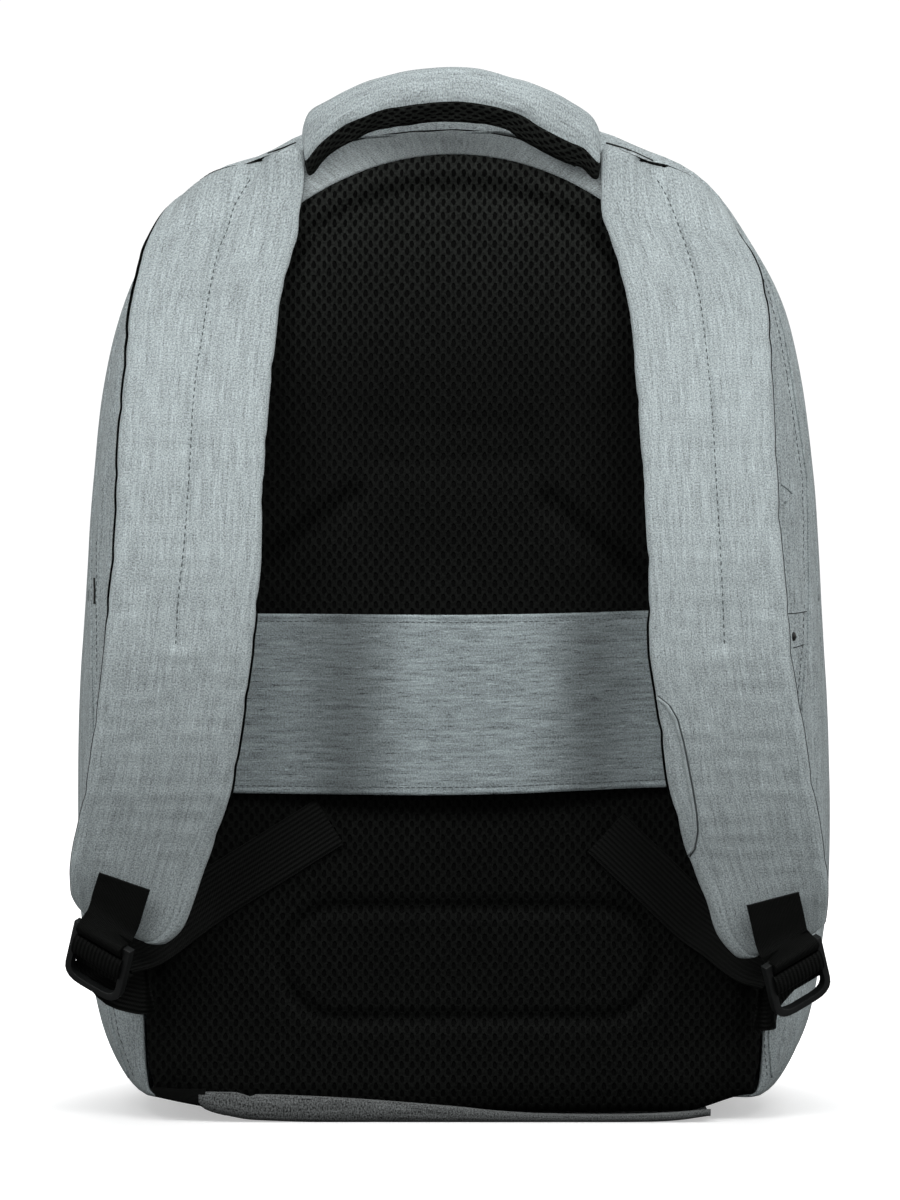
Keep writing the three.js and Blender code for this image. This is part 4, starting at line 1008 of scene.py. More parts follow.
def panel_thickness(x, z):
    """Thickness of the padded mesh in millimetres: rolled rim, channel, lobes and lumbar pad."""
    edge = panel_edge_distance(x, z)
    thickness = mix(3.4, 9.0, math.sqrt(clamp(edge / 13.0)) if edge > 0 else 0)
    upper = smooth((z - 270) / 60)
    thickness -= valley(edge - 13.5, 8, 5.4) * upper
    thickness += 1.0 * math.exp(-(((edge - 6) / 5) ** 2)) * upper
    channel = 1 - smooth((abs(x + 1.8) - 35) / 8)
    thickness -= 2.8 * channel * smooth((z - 292) / 30) * smooth((edge - 13) / 9)
    for start, end in (((-47.6, 296), (-95.0, 260)), ((44.7, 293), (95.0, 250))):
        thickness -= valley(to_segment(x, z, start, end), 9, 3.6)
    for height in (330.0, 312.0):
        thickness -= valley(z - height, 7, 0.8) * (1 - smooth((abs(x) - 34) / 10))
    lumbar = math.hypot(max(0.0, abs(x - 7.3) - 62.0), z - 75.0) - 26.0
    thickness -= valley(lumbar, 6, 3.2) + 0.8 * (1 - smooth((lumbar + 12) / 10))
    spot = Vector((x, 0, z)) * MM
    return thickness + 0.6 * ripple(spot, 0.05, 2.0) + 0.3 * ripple(spot, 0.016, 4.0)


def make_back_panel():
    columns, rows, split = 150, 190, 0.55

    def point(c, r):
        share = r / rows
        if share <= split:
            level = mix(0.0, ARCH_CENTRE, share / split)
        else:
            turn = (share - split) / (1 - split) * math.pi / 2
            level = min(ARCH_CENTRE + (ARCH_TOP - ARCH_CENTRE) * math.sin(turn), ARCH_TOP - 0.01)
        x = mix(-1, 1, c / columns) * panel_half_width(max(level, 8.0))
        z = level
        if level < ARCH_CENTRE:
            z = max(level, mix(panel_low(x), ARCH_CENTRE, level / ARCH_CENTRE))
        return place(x, 0.3 + panel_thickness(x, z), z)

    bm = cloth_grid(columns, rows, point)
    back_with_plane(bm, 0.3)
    panel = finish_piece("padded_back_mesh", bm, panel_mesh, ("back_panel",))
    return panel


def yoke_outer(share):
    """Point of the rear outline's top: share 0 at the middle, 1 at the yoke's lower end."""
    press = (REAR_TOP - FRONT_CENTRE) / (1 - FRONT_CENTRE)
    width = column(OUTLINE, "height", FRONT_CENTRE + (YOKE_END_SHARE - FRONT_CENTRE) / press, "rear")
    width *= math.sin(share * math.pi / 2)
    low, high = 0.45, 1.0
    for _ in range(40):
        middle = (low + high) / 2
        if column(OUTLINE, "height", middle, "rear") > width:
            low = middle
        else:
            high = middle
    return HALF_WIDTH * width, BODY_FLOOR + BODY_HEIGHT * (FRONT_CENTRE + (low - FRONT_CENTRE) * press)


def make_yoke():
    columns, rows = 120, 14
    far = math.acos((YOKE_END_SHARE - ARCH_CENTRE_SHARE) / (ARCH_TOP_SHARE - ARCH_CENTRE_SHARE))

    def point(c, r):
        across = mix(-1, 1, c / columns)
        inner_x = ARCH_HALF_WIDTH * math.sin(across * far)
        inner_z = ARCH_CENTRE + (ARCH_TOP - ARCH_CENTRE) * math.cos(across * far)
        outer_x, outer_z = yoke_outer(abs(across))
        share = r / rows
        x, z = mix(inner_x, math.copysign(outer_x, across), share), mix(inner_z, outer_z, share)
        crown = math.sin(math.pi * (0.12 + 0.8 * share)) ** 0.7
        fold = 0.7 * ripple(Vector((x * 1.5, 0, z)) * MM, 0.02, 11.0)
        return place(x, 1.2 + 4.0 * crown + fold, z)

    bm = cloth_grid(columns, rows, point, uv=lambda c, r: (c / columns * 0.33, r / rows * 0.03))
    back_with_plane(bm, 0.3)
    yoke = finish_piece("yoke_cloth", bm, yoke_cloth, ("yoke",))
    trees = [tree_of(yoke)]
    seam = seen_mm(
        (318, 158), (338, 142), (372, 134), (410, 129.5), (446, 127), (480, 128.5), (515, 135), (548, 147),
        (578, 166),
    )
    path = seen_path(trees, seam)
    tube("yoke_piping", [spot + normal * 0.0002 for spot, normal in path], 0.8, body_cloth)
    path = seen_path(trees, [(x, z - 1.1) for x, z in seam])
    tube("yoke_seam", [spot for spot, _ in path], 0.35, black_thread)


# Band over a trolley handle

BAND_ROWS = (
    ("x", "top", "bottom", "out"),
    (-144.0, 240.6, 155.6, 10.2),
    (-118.0, 240.6, 155.5, 12.2),
    (-94.0, 240.5, 155.2, 14.2),
    (-74.0, 240.4, 154.9, 16.2),
    (-56.0, 240.3, 154.7, 18.4),
    (-38.0, 240.1, 154.5, 20.8),
    (-20.0, 240.0, 154.3, 21.7),
    (0.0, 239.9, 154.4, 21.9),
    (28.0, 240.2, 155.0, 21.6),
    (46.0, 240.6, 155.8, 20.4),
    (64.0, 241.1, 156.6, 17.8),
    (82.0, 241.7, 157.5, 15.4),
    (100.0, 242.2, 158.1, 13.6),
    (118.0, 242.4, 158.4, 12.2),
    (144.0, 242.4, 158.6, 10.2),
)
# Flat size in metres, and how far to each side it reaches.
BAND_LENGTH, BAND_HEIGHT, BAND_END = 0.292, 0.087, 144


def band_point(x, share, lift=0.0):
    crown = 0.9 * math.sin(math.pi * share) * (1 - abs(x) / 150)
    hem = 0.4 * (math.exp(-(((share - 0.04) / 0.012) ** 2)) + math.exp(-(((share - 0.96) / 0.012) ** 2)))
    wave = 0.35 * ripple(Vector((x * 0.6, 0, share * 85)) * MM, 0.028, 6.0)
    z = mix(column(BAND_ROWS, "x", x, "bottom"), column(BAND_ROWS, "x", x, "top"), share)
    return sight(x, column(BAND_ROWS, "x", x, "out") + crown + wave - hem + lift, z)


def make_band():
    columns, rows = 150, 52
    bm = cloth_grid(
        columns, rows, lambda c, r: band_point(mix(-BAND_END, BAND_END, c / columns), r / rows),
        uv=lambda c, r: (c / columns * BAND_LENGTH, r / rows * BAND_HEIGHT),
    )
    bmesh.ops.reverse_faces(bm, faces=bm.faces)
    band = finish_piece("trolley_band", bm, band_cloth, ("luggage_band",))
    add_wall(band, 0.0018, 1.0)
    outward = Vector((0, -1, 0))
    for name, share in (("top", 0.958), ("low", 0.042)):
        places = [mix(-140, 140, step / 120) for step in range(121)]
        path = [(band_point(x, share, 0.1), outward) for x in places]
        stitches(f"band_{name}_stitches", path, shadow_thread, 2.9, 2.3, 0.2)


# Padded straps

# Columns round the section: half of its back, each edge, and its front.
BACK_STEPS, EDGE_STEPS, FRONT_STEPS = 6, 4, 24
SECTION = 2 * BACK_STEPS + 2 * EDGE_STEPS + FRONT_STEPS
FRONT_FROM = BACK_STEPS + EDGE_STEPS


def surface_out(x, z):
    """How far the rear side of the body stands out (below zero: behind the back plane) at x, z."""
    low, high = 0.0, 0.34
    for _ in range(10):
        depth = (low + high) / 2
        top = (column(SECTIONS, "depth", depth, "top") - FRONT_CENTRE) / (1 - FRONT_CENTRE)
        rise = FRONT_CENTRE + ((z - BODY_FLOOR) / BODY_HEIGHT - FRONT_CENTRE) / top
        width = abs(body_point(1, rise, depth).x) if rise < 1 else 0.0
        if width < abs(x):
            low = depth
        else:
            high = depth
    return -low * body_depth((z - BODY_FLOOR) / BODY_HEIGHT)


class Strap:
    """One shoulder strap: its rows by length along it, its surface and its groove."""

    def __init__(self, name):
        self.name = name
        table = STRAP_ROWS[name]
        rows, length, before = [("length",) + table[0]], 0.0, None
        for row in table[1:]:
            here = Vector(((row[0] + row[2]) / 2, row[4], (row[1] + row[3]) / 2))
            if before is not None:
                length += (here - before).length
            before = here
            rows.append((length,) + row)
        self.table, self.total = tuple(rows), length
        self.rows = int(length / 4.2)
        self.known = {}

    def seen(self, length, share):
        """Seen place, and how far out it is, of a share from the inner to the outer edge."""
        if (length, share) not in self.known:
            self.known[length, share] = self.work_out(length, share)
        return self.known[length, share]

    def work_out(self, length, share):
        read = [column(self.table, "length", length, name) for name in self.table[0][1:]]
        x, z = mix(read[0], read[2], share), mix(read[1], read[3], share)
        near = smooth(1 - length / 30)
        z += near * column(STRAP_TOP[self.name], "share", share, "rise")
        out = read[4]
        if length < 30:
            sewn = smooth(1 - length / 26)
            behind = min(out, surface_out(x, z) + 3.0)
            out = mix(out, max(behind, -22.0), sewn * smooth((abs(x) - 78) / 20))
        return x, out, z

    def face(self, length, share):
        return sight(*self.seen(length, share))

    def outward(self, length, share):
        low, high = max(0.0, length - 3), min(self.total, length + 3)
        along = self.face(high, share) - self.face(low, share)
        across = self.face(length, 1.0) - self.face(length, 0.0)
        out = across.cross(along)
        return (out if out.y < 0 else -out).normalized()

    def thickness(self, length):
        return mix(3.0, 9.5, smooth(length / 100)) * mix(1.0, 0.7, smooth((length - self.total + 40) / 40))

    def groove(self, length):
        """Share across at which the groove lies."""
        share = 0.5
        for _ in range(4):
            x0, _, z0 = self.seen(length, 0.0)
            x1, _, z1 = self.seen(length, 1.0)
            wanted = column(GROOVES[self.name], "z", mix(z0, z1, share), "x")
            share = clamp((wanted - x0) / (x1 - x0), 0.2, 0.8)
        return share, mix(z0, z1, share)

    def point(self, c, r):
        length = self.total * r / self.rows
        thickness = self.thickness(length) * MM
        width = (self.face(length, 1.0) - self.face(length, 0.0)).length
        radius = 0.42 * thickness
        edge = clamp(radius / width, 0.0, 0.4)
        c = c % SECTION
        if c <= BACK_STEPS:
            share, sink = mix(0.5, edge * 0.6, c / BACK_STEPS), thickness
        elif c < FRONT_FROM:
            part = (c - BACK_STEPS) / EDGE_STEPS
            share, sink = edge * abs(1 - 2 * part) ** 2, thickness * (1 - part) ** 1.4
        elif c <= FRONT_FROM + FRONT_STEPS:
            share, sink = mix(edge, 1 - edge, (c - FRONT_FROM) / FRONT_STEPS), 0.0
        elif c < SECTION - BACK_STEPS:
            part = (c - FRONT_FROM - FRONT_STEPS) / EDGE_STEPS
            share, sink = 1 - edge * abs(1 - 2 * part) ** 2, thickness * part ** 1.4
        else:
            share, sink = mix(1 - edge * 0.6, 0.5, (c - SECTION + BACK_STEPS) / BACK_STEPS), thickness
        return self.face(length, share) - self.outward(length, 0.5) * sink

    def sewn(self, c, r):
        """How firmly a place is sewn down."""
        length = self.total * r / self.rows
        end = max(smooth((4 - r) / 3), smooth((r - self.rows + 4) / 3))
        if not FRONT_FROM - 2 <= c <= FRONT_FROM + FRONT_STEPS + 2:
            return max(end, 0.3)
        share, z = self.groove(length)
        off = clamp((c - FRONT_FROM) / FRONT_STEPS) - share
        groove = math.exp(-((off / 0.035) ** 2)) * smooth((z - GROOVE_FOOT) / 6)
        edge = max(smooth((FRONT_FROM + 1 - c) / 1.5), smooth((c - FRONT_FROM - FRONT_STEPS + 1) / 1.5))
        return max(end, groove, 0.85 * edge)

    def make(self):
        bm = cloth_grid(
            SECTION, self.rows, self.point, ring=True,
            uv=lambda c, r: ((c - FRONT_FROM) * STRAP_WIDTH / FRONT_STEPS, self.total * MM * r / self.rows),
        )
        at_column = bm.verts.layers.float["column"]
        middle_of_edge = EDGE_STEPS // 2
        for face in bm.faces:
            columns = [vert[at_column] for vert in face.verts]
            if max(columns) - min(columns) > 2:
                columns = [0]
            c = sum(columns) / len(columns)
            front = FRONT_FROM - middle_of_edge < c < FRONT_FROM + FRONT_STEPS + middle_of_edge
            face.material_index = 0 if front else 1
        close_holes(bm)
        name = self.name
        pad = finish_piece(f"strap_pad_{name}", bm, [strap_cloth, lining_mesh])
        fill_pad(pad, 3.0, 0.0016, self.sewn, 0.015)
        add_subdivision(pad)
        apply_modifiers(pad)
        self.press_groove(pad)
        lining = split_by_material(pad, f"strap_mesh_{name}", (f"strap_lining_{name}",))
        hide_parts(f"strap_{name}")
        self.spread(lining)
        for piece in (pad, lining):
            add_subdivision(piece)
        self.tree = tree_of(pad)
        path = []
        for number in range(6, self.rows * 3):
            length = self.total * number / (self.rows * 3)
            share, z = self.groove(length)
            if z < GROOVE_FOOT:
                break
            x, _, z = self.seen(length, share)
            hit = seen_on([self.tree], x, z)
            if hit:
                path.append(hit)
        stitches(f"strap_stitches_{name}", path, shadow_thread, 3.6, 2.3, 0.32, 0.05)
        if name == "right":
            self.make_card_pocket()

    def make_card_pocket(self):
        """The curved mouth of the flat pocket on the inner edge, with its rolled lip."""
        mouth = seen_mm(
            (658, 696), (670, 706), (678, 720), (684, 743), (688, 763), (693, 789), (697, 814), (698, 831),
            (695, 849), (688, 859),
        )
        path = seen_path([self.tree], mouth)
        tube("card_pocket_seam", [spot for spot, _ in path], 0.4, shadow_thread)
        path = seen_path([self.tree], [(x - 1.4, z) for x, z in mouth])
        tube("card_pocket_lip", [spot for spot, _ in path], 0.9, strap_cloth)

    def press_groove(self, pad):
        """Presses the stitched groove with its small puckers, and the hems, into the front of the pad."""
        known = {}
        for vert, c, r in remembered(pad):
            if not FRONT_FROM <= c <= FRONT_FROM + FRONT_STEPS:
                continue
            length = self.total * r / self.rows
            key = round(r, 2)
            if key not in known:
                known[key] = self.groove(length) + (self.outward(length, 0.5),)
            share, z, out = known[key]
            at = (c - FRONT_FROM) / FRONT_STEPS
            off = (at - share) * STRAP_WIDTH
            fade = smooth((z - GROOVE_FOOT + 3) / 6)
            dent = 0.0013 * math.exp(-((off / 0.0022) ** 2)) + 0.0008 * math.exp(-((off / 0.009) ** 2))
            pucker = 0.0005 * ripple(Vector((off * 0.4, 0, length * MM)), 0.008, 9.0)
            pucker *= math.exp(-((off / 0.013) ** 2))
            edge = min(at, 1 - at) * STRAP_WIDTH
            hem = 0.0004 * math.exp(-(((edge - 0.0055) / 0.002) ** 2))
            wave = 0.0006 * ripple(vert.co, 0.035, 13.0)
            vert.co -= out * (dent * fade - pucker * fade + hem - wave)

    def spread(self, lining):
        """Lets the dark lining show as a thin line beside the outer edge; on the right strap that line is
        painted shade.
        """
        side = -1 if self.name == "left" else 1
        for vert, c, r in remembered(lining):
            z = vert.co.z / MM
            if c > SECTION / 2:
                length = self.total * r / self.rows
                upper = (1 - smooth((length - 50) / 70)) * smooth((length - 16) / 14)
                # On the right strap the lining shown beside the outer edge stands in for a thin line of
                # shade: painted shade.
                shown = 0.0003 + (0.0007 * smooth((z - 225) / 25) if side < 0 else 0.0) + 0.0004 * upper
                vert.co.x += side * shown * smooth((SECTION - BACK_STEPS + 2 - c) / 4)
            else:
                shown = 0.0011 * smooth((262 - z) / 30) * smooth((z - 120) / 40)
                vert.co.x -= side * shown * smooth((c - BACK_STEPS + 2) / 4)


# Grab handle

# Columns round the section, its depth in millimetres, and the columns from its lowest place to a seam.
HANDLE_SECTION, HANDLE_DEPTH, HANDLE_SEAM = 36, 17.0, 8


def make_handle():
    table, length, before = [("length",) + HANDLE_ROWS[0]], 0.0, None
    for row in HANDLE_ROWS[1:]:
        here = Vector(((row[0] + row[2]) / 2, row[4], (row[1] + row[3]) / 2))
        if before is not None:
            length += (here - before).length
        before = here
        table.append((length,) + row)
    rows, total = int(length / 3.0), length

    def point(c, r):
        read = [column(table, "length", total * r / rows, name) for name in table[0][1:]]
        top, low = sight(read[0], read[4], read[1]), sight(read[2], read[4], read[3])
        middle, half = (top + low) / 2, (top - low) / 2
        end = min(r, rows - r)
        cap = mix(0.72, 1.0, smooth((end + 0.2) / 2.2))
        fall = abs(mix(-1, 1, r / rows)) ** 2
        # The section starts at its lowest place; the lining ends at the seam columns.
        lined = math.acos(1 - 2 * mix(0.37, 0.34, fall))
        at = min(c, HANDLE_SECTION - c)
        if at <= HANDLE_SEAM:
            turn = lined * at / HANDLE_SEAM
        else:
            turn = mix(lined, math.pi, (at - HANDLE_SEAM) / (HANDLE_SECTION / 2 - HANDLE_SEAM))
        sign = 1 if c <= HANDLE_SECTION / 2 else -1
        depth = HANDLE_DEPTH / 2 * MM * (1 - 0.38 * fall) * cap
        up, out = -math.cos(turn), sign * math.sin(turn) ** 0.85
        return middle + half * up * cap * 0.95 + Vector((0, -depth * out, 0))

    bm = cloth_grid(
        HANDLE_SECTION, rows, point, ring=True,
        uv=lambda c, r: (c / HANDLE_SECTION * 0.075, total * MM * r / rows),
    )
    at_column = bm.verts.layers.float["column"]
    for face in bm.faces:
        columns = [vert[at_column] for vert in face.verts]
        c = sum(columns) / len(columns) if max(columns) - min(columns) < 3 else 0
        face.material_index = 1 if min(c, HANDLE_SECTION - c) < HANDLE_SEAM else 0
    close_holes(bm)
    handle = finish_piece("handle_pad", bm, [handle_cloth, lining_mesh])

    def sewn(c, r):
        end = smooth((3 - min(r, rows - r)) / 2)
        return max(end, 0.7 * math.exp(-(((min(c, HANDLE_SECTION - c) - HANDLE_SEAM) / 0.8) ** 2)))

    fill_pad(handle, 3.0, 0.0013, sewn, 0.02)
    add_subdivision(handle)
    apply_modifiers(handle)
    for vert, c, r in remembered(handle):
        seam = math.exp(-(((min(c, HANDLE_SECTION - c) - HANDLE_SEAM) / 0.5) ** 2))
        crease = ripple(Vector((vert.co.x * 2.4, vert.co.y, vert.co.z * 0.6)), 0.022, 21.0)
        fine = ripple(vert.co, 0.01, 23.0)
        vert.co.y -= 0.0008 * crease + 0.00025 * fine - 0.0006 * seam
        vert.co.z -= 0.0004 * seam + 0.0003 * fine
    lining = split_by_material(handle, "handle_mesh", ("handle_lining",))
    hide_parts("handle_cover")
    for piece in (handle, lining):
        add_subdivision(piece)


# Base

BASE_ROWS = (
    ("x", "top", "bottom"),
    (-120.5, 14.4, 8.4),
    (-117.5, 14.7, 6.2),
    (-112.0, 14.6, 4.2),
    (-100.0, 14.0, 1.6),
    (-97.5, 11.6, 1.3),
    (-95.0, 13.4, 1.0),
    (-66.0, 12.6, 0.0),
    (-35.0, 10.7, 0.0),
    (3.0, 7.6, 0.0),
    (18.0, 6.0, 0.0),
    (42.0, 4.5, 0.0),
    (78.0, 4.2, 0.0),
    (103.0, 5.0, 0.6),
    (121.5, 6.6, 3.0),
)
BASE_LEFT, BASE_RIGHT = -120.5, 121.5


def make_base():
    columns = 80

    def point(c, r):
        x = mix(BASE_LEFT, BASE_RIGHT, c / columns)
        end = abs(x / BASE_RIGHT) ** 8
        top, low = column(BASE_ROWS, "x", x, "top"), column(BASE_ROWS, "x", x, "bottom")
        fold = 0.4 * ripple(Vector((x, 0, 0)) * MM, 0.02, 2.0)
        front = -123.0 * (1 - 0.14 * end)
        rear = 12.3 + fold
        inside = max(3.0, low)
        profile = (
            (front, inside), (front, low), (0.0, low), (rear - 3.4, low), (rear - 1.2, mix(low, top, 0.12)),
            (rear - 0.2, mix(low, top, 0.4)), (rear, mix(low, top, 0.75)), (rear - 0.4, top - 0.3),
            (rear - 1.0, top), (rear - 1.8, top - 0.4), (rear - 2.2, inside), (0.0, inside),
        )
        out, z = profile[r % len(profile)]
        return place(x, out, z)

    bm = cloth_grid(columns, 12, point, uv=lambda c, r: (c / columns * 0.243, r * 0.003))
    bmesh.ops.remove_doubles(bm, verts=bm.verts, dist=1e-7)
    close_holes(bm)
    finish_piece("base_roll", bm, base_cloth_in_painted_shade, ("base_panel",))
    # The black tape folded round the lower left corner.
    top = seen_mm((151, 1087), (178, 1089), (206, 1089))
    low = seen_mm((156, 1096), (178, 1101), (203, 1106))

    def tape_point(c, r):
        step = min(1, c // 6)
        part = (c - 6 * step) / 6
        ends = []
        for row in (low, top):
            (x0, z0), (x1, z1) = row[step:step + 2]
            ends.append((mix(x0, x1, part), mix(z0, z1, part)))
        x, z = mix(ends[0][0], ends[1][0], r / 6), mix(ends[0][1], ends[1][1], r / 6)
        return sight(x, 11.6 - 1.5 * (1 - r / 6) ** 3, z)

    tape = cloth_grid(12, 6, tape_point, uv=lambda c, r: (r * 0.0015, c * 0.0022))
    piece = finish_piece("corner_tape", tape, tab_webbing)
    add_wall(piece, 0.0012, 0.0)


# Webbing, tabs and buckles

# Sign of the side, and how far its buckle lies further out and lower, as shares of the body's sizes.
SIDES = {"left": (-1, 0.0, 0.0), "right": (1, -0.03, 0.016)}
# The webbing in millimetres. At the buckle and behind its bars it is laid wider, to fill the window.
WEBBING_WIDTH, WEBBING_THICKNESS, ADJUSTER_WIDTH, FOLD_WIDTH = 25.0, 1.6, 27.0, 29.5


def buckle_frame(name):
    sign, shift, drop = SIDES[name]
    turn = Matrix.Rotation(math.radians(-sign * 28), 4, "Y")
    turn = turn @ Matrix.Rotation(math.radians(sign * 22), 4, "Z")
    x = sign * HALF_WIDTH * (0.887 + shift)
    spot = place(x, 74 * 0.7, BODY_FLOOR + BODY_HEIGHT * (0.183 - drop))
    return Matrix.Translation(spot) @ turn @ Matrix.Rotation(math.radians(32), 4, "X")


def in_buckle(name, up, out, across=0.0):
    return buckle_frame(name) @ Vector((across * MM, -out * MM, up * MM))


def ribbon(name, stops, replaced=(), material=None, width=WEBBING_WIDTH, steps=8):
    """Flat webbing along stops of (point, width direction)."""
    points = [stop[0] for stop in stops]
    rows = (len(stops) - 1) * steps
    spots = []
    for r in range(rows + 1):
        i = min(r // steps, len(stops) - 2)
        t = r / steps - i
        p0, p1, p2, p3 = (points[max(0, min(len(points) - 1, i + k))] for k in (-1, 0, 1, 2))
        bend = (2 * p0 - 5 * p1 + 4 * p2 - p3) * t * t + (3 * p1 - p0 - 3 * p2 + p3) * t ** 3
        spots.append((0.5 * (2 * p1 + (p2 - p0) * t + bend), stops[i][1].lerp(stops[i + 1][1], smooth(t))))
    flats, lengths = [], [0.0]
    for r, (at, across) in enumerate(spots):
        along = (spots[min(rows, r + 1)][0] - spots[max(0, r - 1)][0]).normalized()
        flats.append((across - along * along.dot(across)).normalized())
        if r:
            lengths.append(lengths[-1] + (at - spots[r - 1][0]).length)

    def point(c, r):
        return spots[r][0] + flats[r] * mix(-0.5, 0.5, c / 10) * width * MM

    bm = cloth_grid(10, rows, point, uv=lambda c, r: (c / 10 * width * MM, lengths[int(r)]))
    piece = finish_piece(name, bm, material or black_webbing, replaced)
    add_wall(piece, WEBBING_THICKNESS * MM, 0.0)
    add_bevel(piece, 0.0004)
    return piece


# The tabs as seen, with their turn in degrees.
TAB_STOPS = {
    "left": ((-156.3, 113.3, 24), (-158.6, 106.0, 30), (-162.4, 94.0, 41)),
    "right": ((151.6, 105.0, -21), (153.6, 96.5, -26), (156.6, 84.5, -31)),
}


# Each tail's free end and the other end of its flat part, as shares of the body's sizes.
TAIL_ENDS = {"left": ((0.32, 0.293), (0.615, 0.222)), "right": ((0.392, 0.282), (0.615, 0.2))}


def make_strap_end(name):
    sign, _, drop = SIDES[name]
    bar = buckle_frame(name).to_3x3() @ Vector((1, 0, 0))
    loop = 2.3 + WEBBING_THICKNESS / 2
    path = []
    for number, (x, z, tilt) in enumerate(TAB_STOPS[name]):
        turn = math.radians(tilt)
        path.append((sight(x, 55.2 - 2.2 * number, z), Vector((math.cos(turn), 0, -math.sin(turn)))))
    round_bar = ((2.6, loop + 0.8), (-1.0, loop + 0.3), (-3.2, 0.0), (-1.0, -loop - 0.3), (4.0, -loop - 1.2))
    for up, out in round_bar:
        path.append((in_buckle(name, up, out), bar))
    ribbon(f"tab_webbing_{name}", path, (f"tab_{name}",), tab_webbing)
    upright = Vector((0, 0, 1))
    seam_x, seam_z = sign * HALF_WIDTH * 0.785, BODY_FLOOR + BODY_HEIGHT * (0.13 - drop)
    path = [(place(seam_x, 10.4, seam_z), upright), (place(seam_x + sign * 5, 11.9, seam_z), upright)]
    path.append((in_buckle(name, -26, -9.5), bar.lerp(upright, 0.3)))
    for up, out in ((-19.5, -5), (-15.5, 0.2), (-12, loop), (-6.8, loop + 0.1), (-4.4, loop - 1.2)):
        path.append((in_buckle(name, up, out), bar))
    ribbon(f"adjuster_webbing_{name}", path, (f"adjuster_{name}",), width=ADJUSTER_WIDTH)
    end, low = (
        place(sign * HALF_WIDTH * x, 10.7, BODY_FLOOR + BODY_HEIGHT * z) for x, z in TAIL_ENDS[name]
    )
    along = (end - low).normalized()
    flat = Vector((along.z, 0, -along.x))
    if flat.dot(bar) < 0:
        bar = -bar
    start = in_buckle(name, -18.5, -16)
    path = [
        (start, bar),
        (start.lerp(low, 0.32) + Vector((0, 0.0035, -0.003)), bar.lerp(flat, 0.4)),
        (start.lerp(low, 0.66) + Vector((0, 0.003, -0.001)), bar.lerp(flat, 0.8)),
        (low, flat), (low.lerp(end, 0.5), flat), (end, flat),
    ]
    ribbon(f"tail_webbing_{name}", path, (f"tail_{name}",))
    stops = ((-1.0, -4.2), (-8.0, -4.4), (-13.0, -2.6), (-17.0, -2.4), (-21.0, -3.6))
    path = [(in_buckle(name, up, out), bar) for up, out in stops]
    ribbon(f"webbing_fold_{name}", path, width=FOLD_WIDTH)


def make_buckle(name):
    node_name = f"buckle_{name}"
    bm = bmesh.new()
    bm.from_mesh(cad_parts[node_name].data)
    bmesh.ops.remove_doubles(bm, verts=bm.verts, dist=1e-6)
    bmesh.ops.dissolve_limit(bm, angle_limit=0.02, verts=bm.verts, edges=bm.edges)
    piece = finish_piece(f"ladder_lock_{name}", bm, buckle_plastic, (node_name,))
    add_bevel(piece, 0.0011, 3)


# Seams of the sides


def make_side_seams(trees):
    """Piping and stitched seams where the rear side cloth shows beside the straps."""
    seams = {
        "left": ((91.8, 540), (91.5, 606), (92, 680), (93, 739), (92, 790)),
        "right": (
            (758, 259), (772, 288), (784, 334), (791, 372), (801, 439), (807, 481.5), (808, 539.5),
            (809, 597.5), (807.5, 639), (805, 664), (802, 700), (801, 713),
        ),
        "left_low": ((107, 998), (114, 1034), (124, 1063), (130, 1080)),
        "right_low": ((774, 1007), (772, 1017), (768.5, 1034), (769.5, 1052), (772, 1080)),
    }
    for name, points in seams.items():
        path = seen_path(trees, seen_mm(*points))
        if len(path) < 4:
            continue
        spots = [spot + normal * 0.0001 for spot, normal in path]
        tube(f"side_seam_{name}", spots, 0.7, body_cloth)
        shift = 2.2 if name.startswith("left") else -2.2
        beside = seen_path(trees, [(x + shift, z) for x, z in seen_mm(*points)])
        stitches(f"side_stitches_{name}", beside, shadow_thread, 3.2, 2.3, 0.22, 0.05)


def make_side_trims(trees):
    """Zip gaps beside the handle, the zip's end on the left, and the pocket's trims on the right."""
    for name, radius, points in (
        ("zip_gap_left", 0.5, ((268, 153.5), (283, 148), (298, 142))),
        ("zip_gap_right", 0.5, ((606, 143), (622, 147.5), (637, 153.5), (655, 162))),
        ("zip_end_bartack", 0.7, ((94.6, 578), (95, 590), (94.6, 606))),
        ("pocket_seam_upper", 0.2, ((786, 614), (798, 613), (809, 611))),
        ("pocket_seam_lower", 0.2, ((793, 648), (800, 646), (806, 644))),
        ("pocket_fold", 0.6, ((781, 484), (787, 488), (793, 494), (788, 500), (783, 505))),
    ):
        path = seen_path(trees, seen_mm(*points), 1.0)
        cloth = body_cloth if name == "pocket_fold" else black_thread
        if len(path) > 2:
            tube(name, [spot for spot, _ in path], radius, cloth)
    hit = seen_on(trees, *seen_mm((793.5, 636.5))[0])
    if hit:
        bm = bmesh.new()
        shape = Matrix.Translation(hit[0]) @ Matrix.Diagonal((0.0013, 0.0008, 0.0022, 1.0))
        bmesh.ops.create_uvsphere(bm, u_segments=12, v_segments=8, radius=1.0, matrix=shape)
        finish_piece("pocket_rivet", bm, buckle_plastic)


def make_side_piping():
    """Piping along the front edge of each side."""
    for name, sign in (("left", -1), ("right", 1)):
        chosen = [i for i, stop in enumerate(RING) if stop[0] == sign and 0.36 <= stop[1] <= 0.84]
        spots = []
        for number in chosen:
            point = shell_point(number, PIPING_DEPTH)
            spots.append(to_frame(point + shell_normal(number, PIPING_DEPTH) * 0.6))
        tube(f"side_piping_cord_{name}", spots, 1.4, body_cloth, (f"side_piping_{name}",))


# Floor, light and camera


